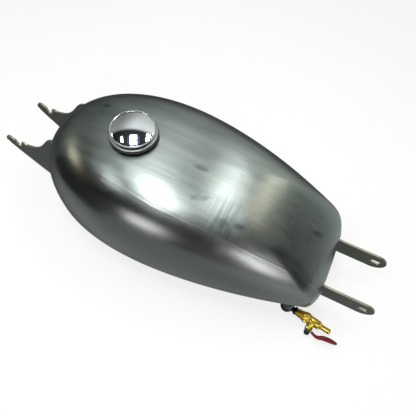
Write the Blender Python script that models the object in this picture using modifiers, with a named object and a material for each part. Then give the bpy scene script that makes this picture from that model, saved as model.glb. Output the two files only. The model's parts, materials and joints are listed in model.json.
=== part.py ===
"""Bare-steel motorcycle fuel tank with a screw cap, mounting plates and a ball-valve outlet.

Frame: +X to the rear, -Y to the vehicle's left, +Z up, origin at the centre of the bounding box.
All dimensions below are in millimetres and are scaled to metres when a mesh is made.
The pieces are laid out from the body's own zero and moved to the frame's origin at the end.
"""

import math

import bmesh
import bpy
from mathutils import Matrix, Vector

MM = 0.001
GAP = 0.3                  # gap kept between touching pieces
FRAME_SHIFT = 1.5          # from the body's zero back to the centre of the bounding box
MERGE = 0.00001            # merge distance of the modifiers, in metres

# Body: plan outline, crown line and section
BODY_FRONT = -215.8        # x of the front end
BODY_WIDEST = -28.8        # x of the widest station
BODY_REAR = 221.1          # x of the rear end
HALF_WIDTH = 117.0         # half width at the widest station
REAR_HALF_WIDTH = 68.5     # half width at the tail, before its corner is rounded
FRONT_POWER = 2.243        # superellipse power of the front of the plan
TAPER_POWER = 1.745        # how late the plan narrows towards the tail
TAIL_CORNER = 21.0         # length of the rounded tail corners
TAIL_POWER = 3.0           # squareness of the tail corners
CROWN = 67.7               # z of the crown at the front
CROWN_DROP = 59.3          # fall of the crown from front to tail
CROWN_POWER = 3.56         # how late the crown falls
SILL = -37.6               # z of the lower edge of the flanks
SECTION_POWER = 4.416      # flatness of the top
FLANK_POWER = 2.487        # fullness of the flank
SHEET = 1.5                # sheet thickness
SECTORS = 72
RINGS = 13
RING_POWER = 2.2           # crowds the rings towards the flank

# Seam between the top panel and the side panels
SEAM_HALF = 74.0
SEAM_WIDEST = -15.0
SEAM_FRONT_LOSS = 25.0
SEAM_REAR_LOSS = 22.0
SEAM_FRONT_POWER = 1.1
SEAM_REAR_POWER = 1.6
SEAM_STEPS = 22
PRISM_Y = 160.0            # reach of the side prisms beyond the body
PRISM_LOW = -60.0
PRISM_HIGH = 90.0

# Tunnel and floor
TUNNEL_HALF = 38.8         # half width inside the tunnel
TUNNEL_FRONT_Z = 16.0      # ceiling at the front end
TUNNEL_REAR_Z = -22.0      # ceiling at the rear end
FLOOR_LIFT = 1.0           # the floor lies this far above the sill
FLOOR_GAP = 1.0            # gap between the floor's edge and the flank

# Mounting plates
PLATE = 3.0                # plate thickness
PLATE_Y = 37.0             # distance of a plate's middle from the centre plane
BRACKET_TIP = (            # upper edge over the hook's tip, in x and z
    (-297.0, -25.0), (-294.0, -18.0), (-288.5, -14.9), (-282.0, -16.4), (-278.6, -20.0),
)
BRACKET_TOOTH = ((-268.3, -20.0), (-265.8, -16.8), (-262.0, -16.6), (-257.5, -18.2))
BRACKET_SWEEP = (          # rise from the tooth to the crest on the body
    (-250.0, -16.8), (-242.0, -14.2), (-234.0, -9.8), (-226.0, -2.8), (-218.0, 6.5),
    (-210.0, 16.8), (-203.0, 24.5), (-196.0, 29.6),
)
BRACKET_CREST_Z = 31.0
BRACKET_WELD_GAP = 0.5     # gap to the body's front face
BRACKET_END = -128.0       # x of the end inside the tunnel
BRACKET_INSIDE = ((-128.0, -30.0), (-165.0, -34.0))
BRACKET_FOOT = (
    (-186.0, -52.0), (-203.0, -85.0), (-210.0, -87.5), (-230.0, -87.5), (-239.0, -84.5),
)
BRACKET_LOWER = ((-246.0, -78.5), (-258.0, -68.0), (-272.0, -54.5), (-284.0, -42.5), (-292.5, -32.5))
FACE_STEPS = 8             # points down the edge that follows the body
CEILING_GAP = 2.0          # gap between the plates' upper edges and the tunnel's ceiling
HOOK_X = -273.6
HOOK_Z = -24.8
HOOK_R = 4.7
STRAP_TIP = 294.0
STRAP_TOP = -30.0
STRAP_R = 16.5             # half height of the strap and radius of its end
STRAP_ROOT = 135.0
STRAP_UNDER = ((200.0, -57.0), (188.0, -44.0), (172.0, -35.5))
STRAP_START = 212.0        # x where the strap's lower edge turns up
STRAP_ROOT_Z = -33.0
STRAP_STEP = 196.0         # x where the upper edge leaves the ceiling
STRAP_OVER = ((207.0, -24.5), (216.0, -29.4))
STRAP_CLEAR = 224.0        # x where the straight upper edge starts
SLOT_X = 279.5
SLOT_R = 4.2
SLOT_HALF = 3.5            # half the distance between the slot's two centres

# Filler neck and cap
CAP_X = -81.0
NECK_HOLE = 24.4
NECK_FLANGE = 27.5
NECK_OUT = 24.0
NECK_IN = 21.8
NECK_TOP = 69.3
NECK_BOTTOM = 50.0
THREAD_PITCH = 5.0
THREAD_WIRE = 1.1          # radius of the rolled thread ridge
THREAD_TURNS = 1.6
THREAD_STEPS = 16          # points in a turn
CAP_THREAD_Z = 56.0        # lower end of the cap's ridge
DOME_TOP = 87.5
DOME_EDGE_R = 27.4
DOME_EDGE_Z = 80.9
DOME_WALL = 1.0
DOME_STEPS = 7
DOME_INNER_STEPS = 4
CAP_RIM = (                # from the dome's edge over the bead, the groove and the flange, to the inside
    (28.6, 81.0), (29.4, 80.3), (29.5, 79.2), (28.8, 78.1), (27.6, 77.4), (27.6, 75.5),
    (30.2, 74.9), (30.8, 74.2), (30.8, 73.2), (30.2, 72.4), (23.6, 72.4), (23.6, 73.6),
    (26.5, 74.2), (26.5, 79.2),
)
GASKET_IN = 22.5
GASKET_OUT = 30.3
GASKET_TOP = 72.1
GASKET_BOTTOM = 69.6
GASKET_EDGE = 0.4          # bevel of the gasket's outer edges
PLUG_OUT = 20.0
PLUG_IN = 18.0
PLUG_DISC = 25.9
PLUG_DISC_Z = 77.0
PLUG_DISC_T = 1.1
PLUG_BOTTOM = 53.0
VENT_R = 2.3
VENT_CAP_R = 2.9
VENT_CAP_TOP = 79.6
VENT_DISC_R = 6.5          # rubber disc under the plug's own disc

# Outlet: bung, elbow and ball valve
OUTLET_X = 189.3
OUTLET_Y = -69.8
BUNG_R = 7.0
BUNG_IN = 6.1
BUNG_LENGTH = 11.0
FUEL_R = 3.4               # radius of the fuel passage
ELBOW_DROP = 39.0          # from the floor down to the elbow's outlet axis
ELBOW_R = 9.2              # radius of the ball-shaped bend
ELBOW_LEG_R = 7.2
ELBOW_MALE_R = 5.8
ELBOW_WAIST_R = 4.6        # outer radius between the bend and the socket
ELBOW_WAIST_BORE = 2.6
ELBOW_END = 15.4           # from the elbow's corner to the end of its socket
SOCKET_OUT = 7.0
SOCKET_R = 5.5
SOCKET_DEPTH = 4.2
SOCKET_LENGTH = 4.4        # length of the collar round the socket
VALVE_YAW = math.radians(-7.0)
STEM_TILT = math.radians(14.0)
VALVE_START = 11.6         # distances along the valve's axis from the elbow's corner
HEX_START = 28.0
HEX_END = 34.0
HEX_FLATS = 15.0
BODY_END = 48.3
BODY_R = 6.3
MALE_R = 5.2
MALE_TAPER = 0.055         # growth of the male thread's radius per millimetre
STEM_AT = 40.0
BALL_R = 4.4
BALL_SIDES = 20
BALL_RINGS = 12
SEAT_FACE = 3.6            # from the ball's centre to the face of a seat
SEAT_CLEAR = 0.25          # gap between the ball and its seats
CAVITY_R = 4.8
PORT_R = 2.4
BOSS_R = 5.0
BOSS_TOP = 12.4            # distances along the stem from the valve's axis
STEM_R = 2.0
STEM_BORE = 2.3
BARB_COLLAR_END = 51.0
BARB_END = 66.8
BARB_R = 3.3
BARB_RIDGE = 3.9
BARB_COUNT = 5

# Lever
LEVER_Z = 12.8             # underside of the lever at the stem
LEVER_T = 1.4
LEVER_W = 3.3              # half width of the strip
LEVER_EYE_R = 5.2
LEVER_NECK = 4.0           # distance from the stem where the eye has narrowed to the strip
LEVER_LINE = (             # middle of the strip: distance from the stem, height on the stem
    (-5.4, 13.5), (4.5, 13.5), (8.5, 14.5), (13.5, 15.5), (17.5, 14.4), (22.0, 12.3), (29.0, 10.6),
    (36.0, 9.7),
)
GRIP_STATIONS = (          # distance from the stem, half width, half thickness
    (6.0, 4.4, 1.6), (6.6, 4.7, 1.9), (11.0, 4.9, 2.0), (15.5, 5.3, 2.6), (20.0, 5.8, 3.3),
    (26.0, 6.0, 3.5), (32.0, 5.8, 3.3), (36.5, 5.3, 2.8), (39.5, 4.4, 2.2), (41.3, 3.0, 1.5),
    (42.0, 1.5, 0.7),
)
GRIP_POWER = 0.7           # under 1 makes the grip's section fuller than an ellipse
GRIP_SIDES = 16
WASHER_R = 4.2
NUT_R = 3.7


def plan_half(x):
    """Half width of the body's plan outline at x."""
    if x < BODY_WIDEST:
        t = min((BODY_WIDEST - x) / (BODY_WIDEST - BODY_FRONT), 1.0)
        return HALF_WIDTH * max(1.0 - t**FRONT_POWER, 0.0) ** (1.0 / FRONT_POWER)
    t = min((x - BODY_WIDEST) / (BODY_REAR - BODY_WIDEST), 1.0)
    width = HALF_WIDTH - (HALF_WIDTH - REAR_HALF_WIDTH) * t**TAPER_POWER
    corner = min(max((x - BODY_REAR + TAIL_CORNER) / TAIL_CORNER, 0.0), 1.0)
    return width * max(1.0 - corner**TAIL_POWER, 0.0) ** (1.0 / TAIL_POWER)


def plan_point(angle):
    """Point of the plan outline; angle 0 is the tail and pi the front."""
    middle = 0.5 * (BODY_FRONT + BODY_REAR)
    half = 0.5 * (BODY_REAR - BODY_FRONT)
    x = middle + half * math.cos(angle)
    y = plan_half(x)
    return x, y if math.sin(angle) >= 0.0 else -y


def crown_z(x):
    t = min(max((x - BODY_FRONT) / (BODY_REAR - BODY_FRONT), 0.0), 1.0)
    return CROWN - CROWN_DROP * t**CROWN_POWER


def skin_z(x, y):
    """Height of the outer skin above (x, y), or the sill outside the plan."""
    low, high = 0.0, 1.0
    for _ in range(40):
        rho = 0.5 * (low + high)
        station = BODY_WIDEST + (x - BODY_WIDEST) / rho
        inside = BODY_FRONT < station < BODY_REAR and abs(y) / rho < plan_half(station)
        if inside:
            high = rho
        else:
            low = rho
    if high >= 1.0:
        return SILL
    height = max(1.0 - high**SECTION_POWER, 0.0) ** (1.0 / FLANK_POWER)
    return SILL + (crown_z(x) - SILL) * height


def skin_front_x(y, z):
    """x of the front face at height z in the plane y."""
    low, high = BODY_FRONT - 5.0, BODY_WIDEST
    for _ in range(40):
        x = 0.5 * (low + high)
        if skin_z(x, y) < z:
            low = x
        else:
            high = x
    return high


def seam_half(x):
    """Half width of the top panel at x."""
    if x < SEAM_WIDEST:
        t = (SEAM_WIDEST - x) / (SEAM_WIDEST - BODY_FRONT)
        return SEAM_HALF - SEAM_FRONT_LOSS * t**SEAM_FRONT_POWER
    t = (x - SEAM_WIDEST) / (BODY_REAR - SEAM_WIDEST)
    return SEAM_HALF - SEAM_REAR_LOSS * t**SEAM_REAR_POWER


def tunnel_z(x):
    t = (x - BODY_FRONT) / (BODY_REAR - BODY_FRONT)
    return TUNNEL_FRONT_Z + (TUNNEL_REAR_Z - TUNNEL_FRONT_Z) * t


for old in list(bpy.data.objects):
    bpy.data.objects.remove(old, do_unlink=True)

parts = bpy.data.collections.new("fuel_tank")
tools = bpy.data.collections.new("cutters")
bpy.context.scene.collection.children.link(parts)
bpy.context.scene.collection.children.link(tools)


def material(name, colour, roughness, metallic):
    made = bpy.data.materials.new(name)
    made.use_nodes = True
    shader = made.node_tree.nodes["Principled BSDF"]
    shader.inputs["Base Color"].default_value = (*colour, 1.0)
    shader.inputs["Roughness"].default_value = roughness
    shader.inputs["Metallic"].default_value = metallic
    made.diffuse_color = (*colour, 1.0)
    return made


RAW_STEEL = ((0.30, 0.31, 0.31), 0.34, 1.0)
PLATE_STEEL = ((0.16, 0.165, 0.15), 0.48, 1.0)
DARK_STEEL = ((0.06, 0.065, 0.06), 0.42, 1.0)
CHROME = ((0.62, 0.63, 0.64), 0.06, 1.0)
ZINC = ((0.45, 0.46, 0.46), 0.3, 1.0)
BRASS = ((0.60, 0.44, 0.13), 0.26, 1.0)
RUBBER = ((0.012, 0.012, 0.012), 0.6, 0.0)
PTFE = ((0.82, 0.82, 0.79), 0.5, 0.0)
VINYL = ((0.20, 0.012, 0.016), 0.42, 0.0)


def add_object(name, mesh, look=None, parent=None):
    """Puts a mesh in the scene: a part when it has a look, otherwise a cutter."""
    made = bpy.data.objects.new(name, mesh)
    if look is None:
        tools.objects.link(made)
        made.hide_render = True
        made.display_type = "WIRE"
    else:
        parts.objects.link(made)
        made.data.materials.append(material(name, *look))
    if parent is not None:
        made.parent = parent
    return made


def add_empty(name, matrix, parent=None):
    made = bpy.data.objects.new(name, None)
    made.empty_display_size = 0.01
    parts.objects.link(made)
    made.parent = parent
    made.matrix_local = matrix
    return made


def shade(mesh, degrees=35.0):
    mesh.shade_smooth()
    mesh.set_sharp_from_angle(angle=math.radians(degrees))


def lathe(name, profile, look=None, parent=None, steps=32):
    """A turned piece about the local Z axis; the profile's (r, z) run down its outer side."""
    bm = bmesh.new()
    verts = [bm.verts.new((r * MM, 0.0, z * MM)) for r, z in profile]
    for a, b in zip(verts, verts[1:]):
        bm.edges.new((a, b))
    if profile[0][0] > 0.0:
        bm.edges.new((verts[-1], verts[0]))
    mesh = bpy.data.meshes.new(name)
    bm.to_mesh(mesh)
    bm.free()
    made = add_object(name, mesh, look, parent)
    screw = made.modifiers.new("turn", "SCREW")
    screw.steps = steps
    screw.render_steps = steps
    screw.use_merge_vertices = True
    screw.merge_threshold = MERGE
    return made


def cylinder(name, radius, z_from, z_to, look=None, parent=None, segments=24, turn=0.0):
    """A cylinder or prism between two heights on the local Z axis."""
    bm = bmesh.new()
    placed = Matrix.Translation((0.0, 0.0, 0.5 * (z_from + z_to) * MM)) @ Matrix.Rotation(turn, 4, "Z")
    bmesh.ops.create_cone(
        bm, cap_ends=True, segments=segments, radius1=radius * MM, radius2=radius * MM,
        depth=(z_to - z_from) * MM, matrix=placed,
    )
    mesh = bpy.data.meshes.new(name)
    bm.to_mesh(mesh)
    bm.free()
    return add_object(name, mesh, look, parent)


def box(name, low, high, look=None, parent=None):
    """A box between two corners."""
    size = [h - g for g, h in zip(low, high)]
    centre = [0.5 * (g + h) * MM for g, h in zip(low, high)]
    bm = bmesh.new()
    scale = Matrix.Diagonal((size[0] * MM, size[1] * MM, size[2] * MM, 1.0))
    bmesh.ops.create_cube(bm, size=1.0, matrix=Matrix.Translation(centre) @ scale)
    mesh = bpy.data.meshes.new(name)
    bm.to_mesh(mesh)
    bm.free()
    return add_object(name, mesh, look, parent)


def outline(name, loops, low, high, plane="XY", look=None, parent=None):
    """A flat piece cut to one or more closed loops, between two levels across its plane."""
    curve = bpy.data.curves.new(name, "CURVE")
    curve.dimensions = "2D"
    curve.fill_mode = "BOTH"
    curve.extrude = 0.5 * (high - low) * MM
    for loop in loops:
        spline = curve.splines.new("POLY")
        spline.points.add(len(loop) - 1)
        for point, (u, v) in zip(spline.points, loop):
            point.co = (u * MM, v * MM, 0.0, 1.0)
        spline.use_cyclic_u = True
    flat = bpy.data.objects.new(name + "_curve", curve)
    tools.objects.link(flat)
    bpy.context.view_layer.update()
    graph = bpy.context.evaluated_depsgraph_get()
    mesh = bpy.data.meshes.new_from_object(flat.evaluated_get(graph))
    mesh.name = name
    bpy.data.objects.remove(flat, do_unlink=True)
    bm = bmesh.new()
    bm.from_mesh(mesh)
    bmesh.ops.remove_doubles(bm, verts=bm.verts, dist=MERGE)
    middle = 0.5 * (low + high) * MM
    if plane == "XY":
        turned = Matrix.Translation((0.0, 0.0, middle))
    else:
        turned = Matrix.Translation((0.0, middle, 0.0)) @ Matrix.Rotation(math.radians(90.0), 4, "X")
    bmesh.ops.transform(bm, matrix=turned, verts=bm.verts)
    bmesh.ops.recalc_face_normals(bm, faces=bm.faces)
    bm.to_mesh(mesh)
    bm.free()
    mesh.materials.clear()
    return add_object(name, mesh, look, parent)


def combine(target, other, operation):
    """Adds a Boolean of the target with another object."""
    made = target.modifiers.new(operation.lower(), "BOOLEAN")
    made.operation = operation
    made.object = other
    return made


def sharp_shading(made, degrees=35.0):
    """Smooth shading with sharp edges kept, after the other modifiers."""
    bpy.context.view_layer.update()
    graph = bpy.context.evaluated_depsgraph_get()
    mesh = bpy.data.meshes.new_from_object(made.evaluated_get(graph))
    made.modifiers.clear()
    shade(mesh, degrees)
    old = made.data
    made.data = mesh
    bpy.data.meshes.remove(old)


def arc(cx, cz, radius, start, end, steps):
    """Points on an arc, in degrees."""
    angles = [math.radians(start + (end - start) * i / steps) for i in range(steps + 1)]
    return [(cx + radius * math.cos(a), cz + radius * math.sin(a)) for a in angles]


# --------------------------------------------------------------------------- shell
def pillow(name, closed):
    """The body's outer skin, from a half sphere drawn out to the body's sections."""
    bm = bmesh.new()
    bmesh.ops.create_uvsphere(bm, u_segments=SECTORS, v_segments=2 * RINGS, radius=1.0)
    below = [v for v in bm.verts if v.co.z < -0.001]
    bmesh.ops.delete(bm, geom=below, context="VERTS")
    for v in bm.verts:
        polar = math.acos(min(max(v.co.z, -1.0), 1.0)) / (0.5 * math.pi)
        angle = math.atan2(v.co.y, v.co.x)
        around = 0.5 * math.pi * polar**RING_POWER
        rho = math.sin(around) ** (2.0 / SECTION_POWER)
        height = max(math.cos(around), 0.0) ** (2.0 / FLANK_POWER)
        edge_x, edge_y = plan_point(angle)
        x = BODY_WIDEST + rho * (edge_x - BODY_WIDEST)
        y = rho * edge_y
        z = SILL + (crown_z(x) - SILL) * height
        v.co = Vector((x, y, z)) * MM
    if closed:
        rim = [e for e in bm.edges if e.is_boundary]
        bmesh.ops.holes_fill(bm, edges=rim, sides=0)
    bmesh.ops.recalc_face_normals(bm, faces=bm.faces)
    mesh = bpy.data.meshes.new(name)
    bm.to_mesh(mesh)
    bm.free()
    return mesh


def shell_panel(name, keep, cuts):
    """One pressing: the skin thickened inward, kept inside one prism and cut by the others."""
    made = add_object(name, pillow(name, closed=False), RAW_STEEL)
    wall = made.modifiers.new("sheet", "SOLIDIFY")
    wall.thickness = SHEET * MM
    wall.offset = -1.0
    wall.use_even_offset = True
    combine(made, keep, "INTERSECT")
    for cutter in cuts:
        combine(made, cutter, "DIFFERENCE")
    sharp_shading(made, 40.0)
    return made


stations = [
    BODY_FRONT - 10.0 + (BODY_REAR - BODY_FRONT + 20.0) * i / SEAM_STEPS for i in range(SEAM_STEPS + 1)
]


def seam_line(side, shift):
    """Seam points from front to rear on one side, shifted outward."""
    made = []
    for x in stations:
        inside = min(max(x, BODY_FRONT), BODY_REAR)
        made.append((x, side * (seam_half(inside) + shift)))
    return made


strip = outline(
    "strip_prism", [seam_line(1, -0.5 * GAP) + seam_line(-1, -0.5 * GAP)[::-1]], PRISM_LOW, PRISM_HIGH
)
left_side = outline(
    "left_prism",
    [seam_line(-1, 0.5 * GAP) + [(stations[-1], -PRISM_Y), (stations[0], -PRISM_Y)]],
    PRISM_LOW, PRISM_HIGH,
)
right_side = outline(
    "right_prism",
    [seam_line(1, 0.5 * GAP) + [(stations[-1], PRISM_Y), (stations[0], PRISM_Y)]],
    PRISM_LOW, PRISM_HIGH,
)


def tunnel_wedge(name, half, lift, ends, low):
    """A wedge that fills the tunnel out to a half width and above the ceiling by a lift."""
    front, rear = BODY_FRONT - ends, BODY_REAR + ends
    side = [(front, low), (rear, low), (rear, tunnel_z(rear) + lift), (front, tunnel_z(front) + lift)]
    return outline(name, [side], -half, half, plane="XZ")


tunnel_outer = TUNNEL_HALF + SHEET
opening = tunnel_wedge("tunnel_opening", tunnel_outer + GAP, SHEET + GAP, 8.0, PRISM_LOW)
neck_hole = cylinder("neck_hole", NECK_HOLE, 40.0, 80.0, segments=48)
neck_hole.location.x = CAP_X * MM
shell_panel("top_panel", strip, [opening, neck_hole])
shell_panel("side_panel_left", left_side, [])
shell_panel("side_panel_right", right_side, [])

# --------------------------------------------------------------------------- tunnel and floor
inner_wedge = tunnel_wedge("tunnel_inside", TUNNEL_HALF, 0.0, 12.0, PRISM_LOW)
body_solid = add_object("body_solid", pillow("body_solid", closed=True))
front, rear = BODY_FRONT - 6.0, BODY_REAR + 6.0
floor_z = SILL + FLOOR_LIFT
channel_side = [
    (front, floor_z), (rear, floor_z), (rear, tunnel_z(rear) + SHEET), (front, tunnel_z(front) + SHEET)
]
tunnel = outline("tunnel", [channel_side], -tunnel_outer, tunnel_outer, plane="XZ", look=RAW_STEEL)
combine(tunnel, inner_wedge, "DIFFERENCE")
combine(tunnel, body_solid, "INTERSECT")
sharp_shading(tunnel)


def floor_outline(side):
    """Edge of a floor sheet: the plan outline moved in by the sheet, and the tunnel's side."""
    inset = SHEET + FLOOR_GAP
    inner = tunnel_outer + GAP
    steps = SECTORS // 2
    edge = []
    for i in range(1, steps):
        angle = math.pi * i / steps
        x, y = plan_point(angle)
        ahead = Vector(plan_point(angle + 0.01)) - Vector(plan_point(angle - 0.01))
        normal = Vector((ahead.y, -ahead.x)).normalized()
        x, y = x - inset * normal.x, y - inset * normal.y
        if y > inner + 1.0:
            edge.append((x, side * y))
    return [(edge[0][0], side * inner)] + edge + [(edge[-1][0], side * inner)]


floor_left = outline(
    "floor_left", [floor_outline(-1)], floor_z, floor_z + SHEET, look=RAW_STEEL
)
outlet_hole = cylinder("outlet_hole", FUEL_R + 0.4, floor_z - 2.0, floor_z + SHEET + 2.0)
outlet_hole.location = (OUTLET_X * MM, OUTLET_Y * MM, 0.0)
combine(floor_left, outlet_hole, "DIFFERENCE")
sharp_shading(floor_left)
floor_right = outline(
    "floor_right", [floor_outline(1)], floor_z, floor_z + SHEET, look=RAW_STEEL
)
shade(floor_right.data)


# --------------------------------------------------------------------------- mounting plates
def curve_through(points, steps=3):
    """Catmull-Rom points through a row of control points."""
    made = []
    ends = [points[0]] + points + [points[-1]]
    for p0, p1, p2, p3 in zip(ends, ends[1:], ends[2:], ends[3:]):
        for k in range(steps):
            t = k / steps
            made.append(tuple(
                b + 0.5 * t * (c - a + t * (2 * a - 5 * b + 4 * c - d + t * (3 * b - a - 3 * c + d)))
                for a, b, c, d in zip(p0, p1, p2, p3)
            ))
    return made + [points[-1]]


def bracket_outline():
    """Side view of a front bracket, clockwise from the hook's tip."""
    inner_y = PLATE_Y - 0.5 * PLATE
    crest_x = skin_front_x(inner_y, BRACKET_CREST_Z) - GAP
    notch = arc(HOOK_X, HOOK_Z, HOOK_R, 180.0, 360.0, 8)
    sweep = curve_through(list(BRACKET_SWEEP) + [(crest_x, BRACKET_CREST_Z)])
    face = []
    high = BRACKET_CREST_Z - 2.0
    low = tunnel_z(crest_x) - CEILING_GAP
    for i in range(FACE_STEPS + 1):
        z = high + (low - high) * i / FACE_STEPS
        face.append((skin_front_x(inner_y, z) - BRACKET_WELD_GAP, z))
    inside = [(BRACKET_END, tunnel_z(BRACKET_END) - CEILING_GAP)] + list(BRACKET_INSIDE)
    front_edge = curve_through(list(BRACKET_TIP)) + notch + curve_through(list(BRACKET_TOOTH))
    lower = curve_through(list(BRACKET_LOWER))
    return front_edge + sweep + face + inside + list(BRACKET_FOOT) + lower


def strap_outline():
    """Side view of a rear strap."""
    middle_z = STRAP_TOP - STRAP_R
    end = arc(STRAP_TIP - STRAP_R, middle_z, STRAP_R, 90.0, -90.0, 14)
    under = curve_through([(STRAP_START, middle_z - STRAP_R)] + list(STRAP_UNDER))
    inside = [(STRAP_ROOT, STRAP_ROOT_Z), (STRAP_ROOT, tunnel_z(STRAP_ROOT) - CEILING_GAP)]
    over = curve_through([(STRAP_STEP, tunnel_z(STRAP_STEP) - CEILING_GAP)] + list(STRAP_OVER))
    return end + under + inside + over + [(STRAP_CLEAR, STRAP_TOP)]


def slot_outline():
    middle_z = STRAP_TOP - STRAP_R
    right = arc(SLOT_X + SLOT_HALF, middle_z, SLOT_R, -90.0, 90.0, 8)
    left = arc(SLOT_X - SLOT_HALF, middle_z, SLOT_R, 90.0, 270.0, 8)
    return right + left


for side, label in ((-1, "left"), (1, "right")):
    near = side * PLATE_Y - 0.5 * PLATE
    far = side * PLATE_Y + 0.5 * PLATE
    bracket = outline("front_bracket_" + label, [bracket_outline()], near, far, "XZ", PLATE_STEEL)
    shade(bracket.data, 30.0)
    strap_loops = [strap_outline(), slot_outline()]
    strap = outline("rear_strap_" + label, strap_loops, near, far, "XZ", PLATE_STEEL)
    shade(strap.data, 30.0)


# --------------------------------------------------------------------------- filler neck and cap
def ridge(name, radius, start_z, parent):
    """A rolled thread ridge: a right-hand helix of round wire, as a closed mesh."""
    curve = bpy.data.curves.new(name, "CURVE")
    curve.dimensions = "3D"
    curve.bevel_depth = THREAD_WIRE * MM
    curve.bevel_resolution = 1
    curve.use_fill_caps = True
    count = int(THREAD_TURNS * THREAD_STEPS)
    spline = curve.splines.new("POLY")
    spline.points.add(count)
    for i, point in enumerate(spline.points):
        angle = 2.0 * math.pi * i / THREAD_STEPS
        z = start_z + THREAD_PITCH * i / THREAD_STEPS
        point.co = (radius * math.cos(angle) * MM, radius * math.sin(angle) * MM, z * MM, 1.0)
    wire = bpy.data.objects.new(name + "_curve", curve)
    tools.objects.link(wire)
    bpy.context.view_layer.update()
    graph = bpy.context.evaluated_depsgraph_get()
    mesh = bpy.data.meshes.new_from_object(wire.evaluated_get(graph))
    mesh.name = name
    bpy.data.objects.remove(wire, do_unlink=True)
    bm = bmesh.new()
    bm.from_mesh(mesh)
    bmesh.ops.remove_doubles(bm, verts=bm.verts, dist=MERGE)
    bmesh.ops.recalc_face_normals(bm, faces=bm.faces)
    bm.to_mesh(mesh)
    bm.free()
    mesh.materials.clear()
    return add_object(name, mesh, parent=parent)


cap_axis = add_empty("cap_axis", Matrix.Translation((CAP_X * MM, 0.0, 0.0)))

neck = lathe("filler_neck", [
    (NECK_IN, NECK_TOP - 0.6), (NECK_IN + 0.6, NECK_TOP), (NECK_FLANGE - 0.5, NECK_TOP),
    (NECK_FLANGE, NECK_TOP - 0.5), (NECK_FLANGE, NECK_TOP - 1.2), (NECK_OUT, NECK_TOP - 1.6),
    (NECK_OUT, NECK_BOTTOM), (NECK_IN, NECK_BOTTOM),
], RAW_STEEL, cap_axis, steps=36)
neck_ridge = ridge("neck_ridge", NECK_IN, CAP_THREAD_Z + 0.5 * THREAD_PITCH, cap_axis)
combine(neck, neck_ridge, "UNION")
sharp_shading(neck)


def dome_profile(inner):
    """Half of the dome's arc from the axis outward, at the outer or the inner surface."""
    rise = DOME_TOP - DOME_EDGE_Z
    radius = (DOME_EDGE_R**2 + rise**2) / (2.0 * rise)
    full = math.asin(DOME_EDGE_R / radius)
    wall = DOME_WALL if inner else 0.0
    points = []
    steps = DOME_INNER_STEPS if inner else DOME_STEPS
    for i in range(steps + 1):
        angle = full * i / steps
        height = (radius - wall) * math.cos(angle)
        points.append(((radius - wall) * math.sin(angle), DOME_TOP - radius + height))
    return points


dome_section = dome_profile(False) + list(CAP_RIM) + dome_profile(True)[:-1][::-1]
cap_dome = lathe("cap_dome", dome_section, CHROME, cap_axis, steps=40)
sharp_shading(cap_dome, 50.0)

cap_plug = lathe("cap_plug", [
    (VENT_R, PLUG_DISC_Z), (PLUG_DISC, PLUG_DISC_Z), (PLUG_DISC, PLUG_DISC_Z - PLUG_DISC_T),
    (PLUG_OUT, PLUG_DISC_Z - PLUG_DISC_T), (PLUG_OUT, PLUG_BOTTOM), (PLUG_IN, PLUG_BOTTOM),
    (PLUG_IN, PLUG_DISC_Z - PLUG_DISC_T), (VENT_R, PLUG_DISC_Z - PLUG_DISC_T),
], ZINC, cap_axis, steps=32)
plug_ridge = ridge("plug_ridge", PLUG_OUT, CAP_THREAD_Z, cap_axis)
combine(cap_plug, plug_ridge, "UNION")
sharp_shading(cap_plug)

lathe("cap_gasket", [
    (GASKET_IN, GASKET_TOP), (GASKET_OUT - GASKET_EDGE, GASKET_TOP), (GASKET_OUT, GASKET_TOP - GASKET_EDGE),
    (GASKET_OUT, GASKET_BOTTOM + GASKET_EDGE), (GASKET_OUT - GASKET_EDGE, GASKET_BOTTOM),
    (GASKET_IN, GASKET_BOTTOM),
], RUBBER, cap_axis, steps=36)
lathe("cap_vent_valve", [
    (0.0, VENT_CAP_TOP), (1.6, VENT_CAP_TOP - 0.2), (VENT_CAP_R, VENT_CAP_TOP - 1.4),
    (VENT_CAP_R, PLUG_DISC_Z + GAP), (VENT_R - GAP, PLUG_DISC_Z + GAP),
    (VENT_R - GAP, PLUG_DISC_Z - PLUG_DISC_T - GAP), (VENT_DISC_R, PLUG_DISC_Z - PLUG_DISC_T - GAP),
    (VENT_DISC_R, PLUG_DISC_Z - 1.9), (4.0, PLUG_DISC_Z - 2.6), (0.0, PLUG_DISC_Z - 3.2),
], RUBBER, cap_axis, steps=20)

# --------------------------------------------------------------------------- bung and elbow
bung_axis = add_empty("bung_axis", Matrix.Translation((OUTLET_X * MM, OUTLET_Y * MM, floor_z * MM)))
lathe("outlet_bung", [
    (BUNG_IN, -GAP), (BUNG_R - 0.4, -GAP), (BUNG_R, -GAP - 0.4), (BUNG_R, -BUNG_LENGTH + 0.6),
    (BUNG_R - 0.6, -BUNG_LENGTH), (BUNG_IN, -BUNG_LENGTH),
], PLATE_STEEL, bung_axis, steps=28)

corner = Vector((OUTLET_X, OUTLET_Y, floor_z - ELBOW_DROP)) * MM
along = Vector((math.cos(VALVE_YAW), math.sin(VALVE_YAW), 0.0))
outward = Vector((math.sin(VALVE_YAW), -math.cos(VALVE_YAW), 0.0))
stem_way = outward * math.cos(STEM_TILT) - Vector((0.0, 0.0, math.sin(STEM_TILT)))
across = along.cross(stem_way)
basis = Matrix((stem_way, across, along)).transposed().to_4x4()
valve_axis = add_empty("valve_axis", Matrix.Translation(corner) @ basis)

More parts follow.
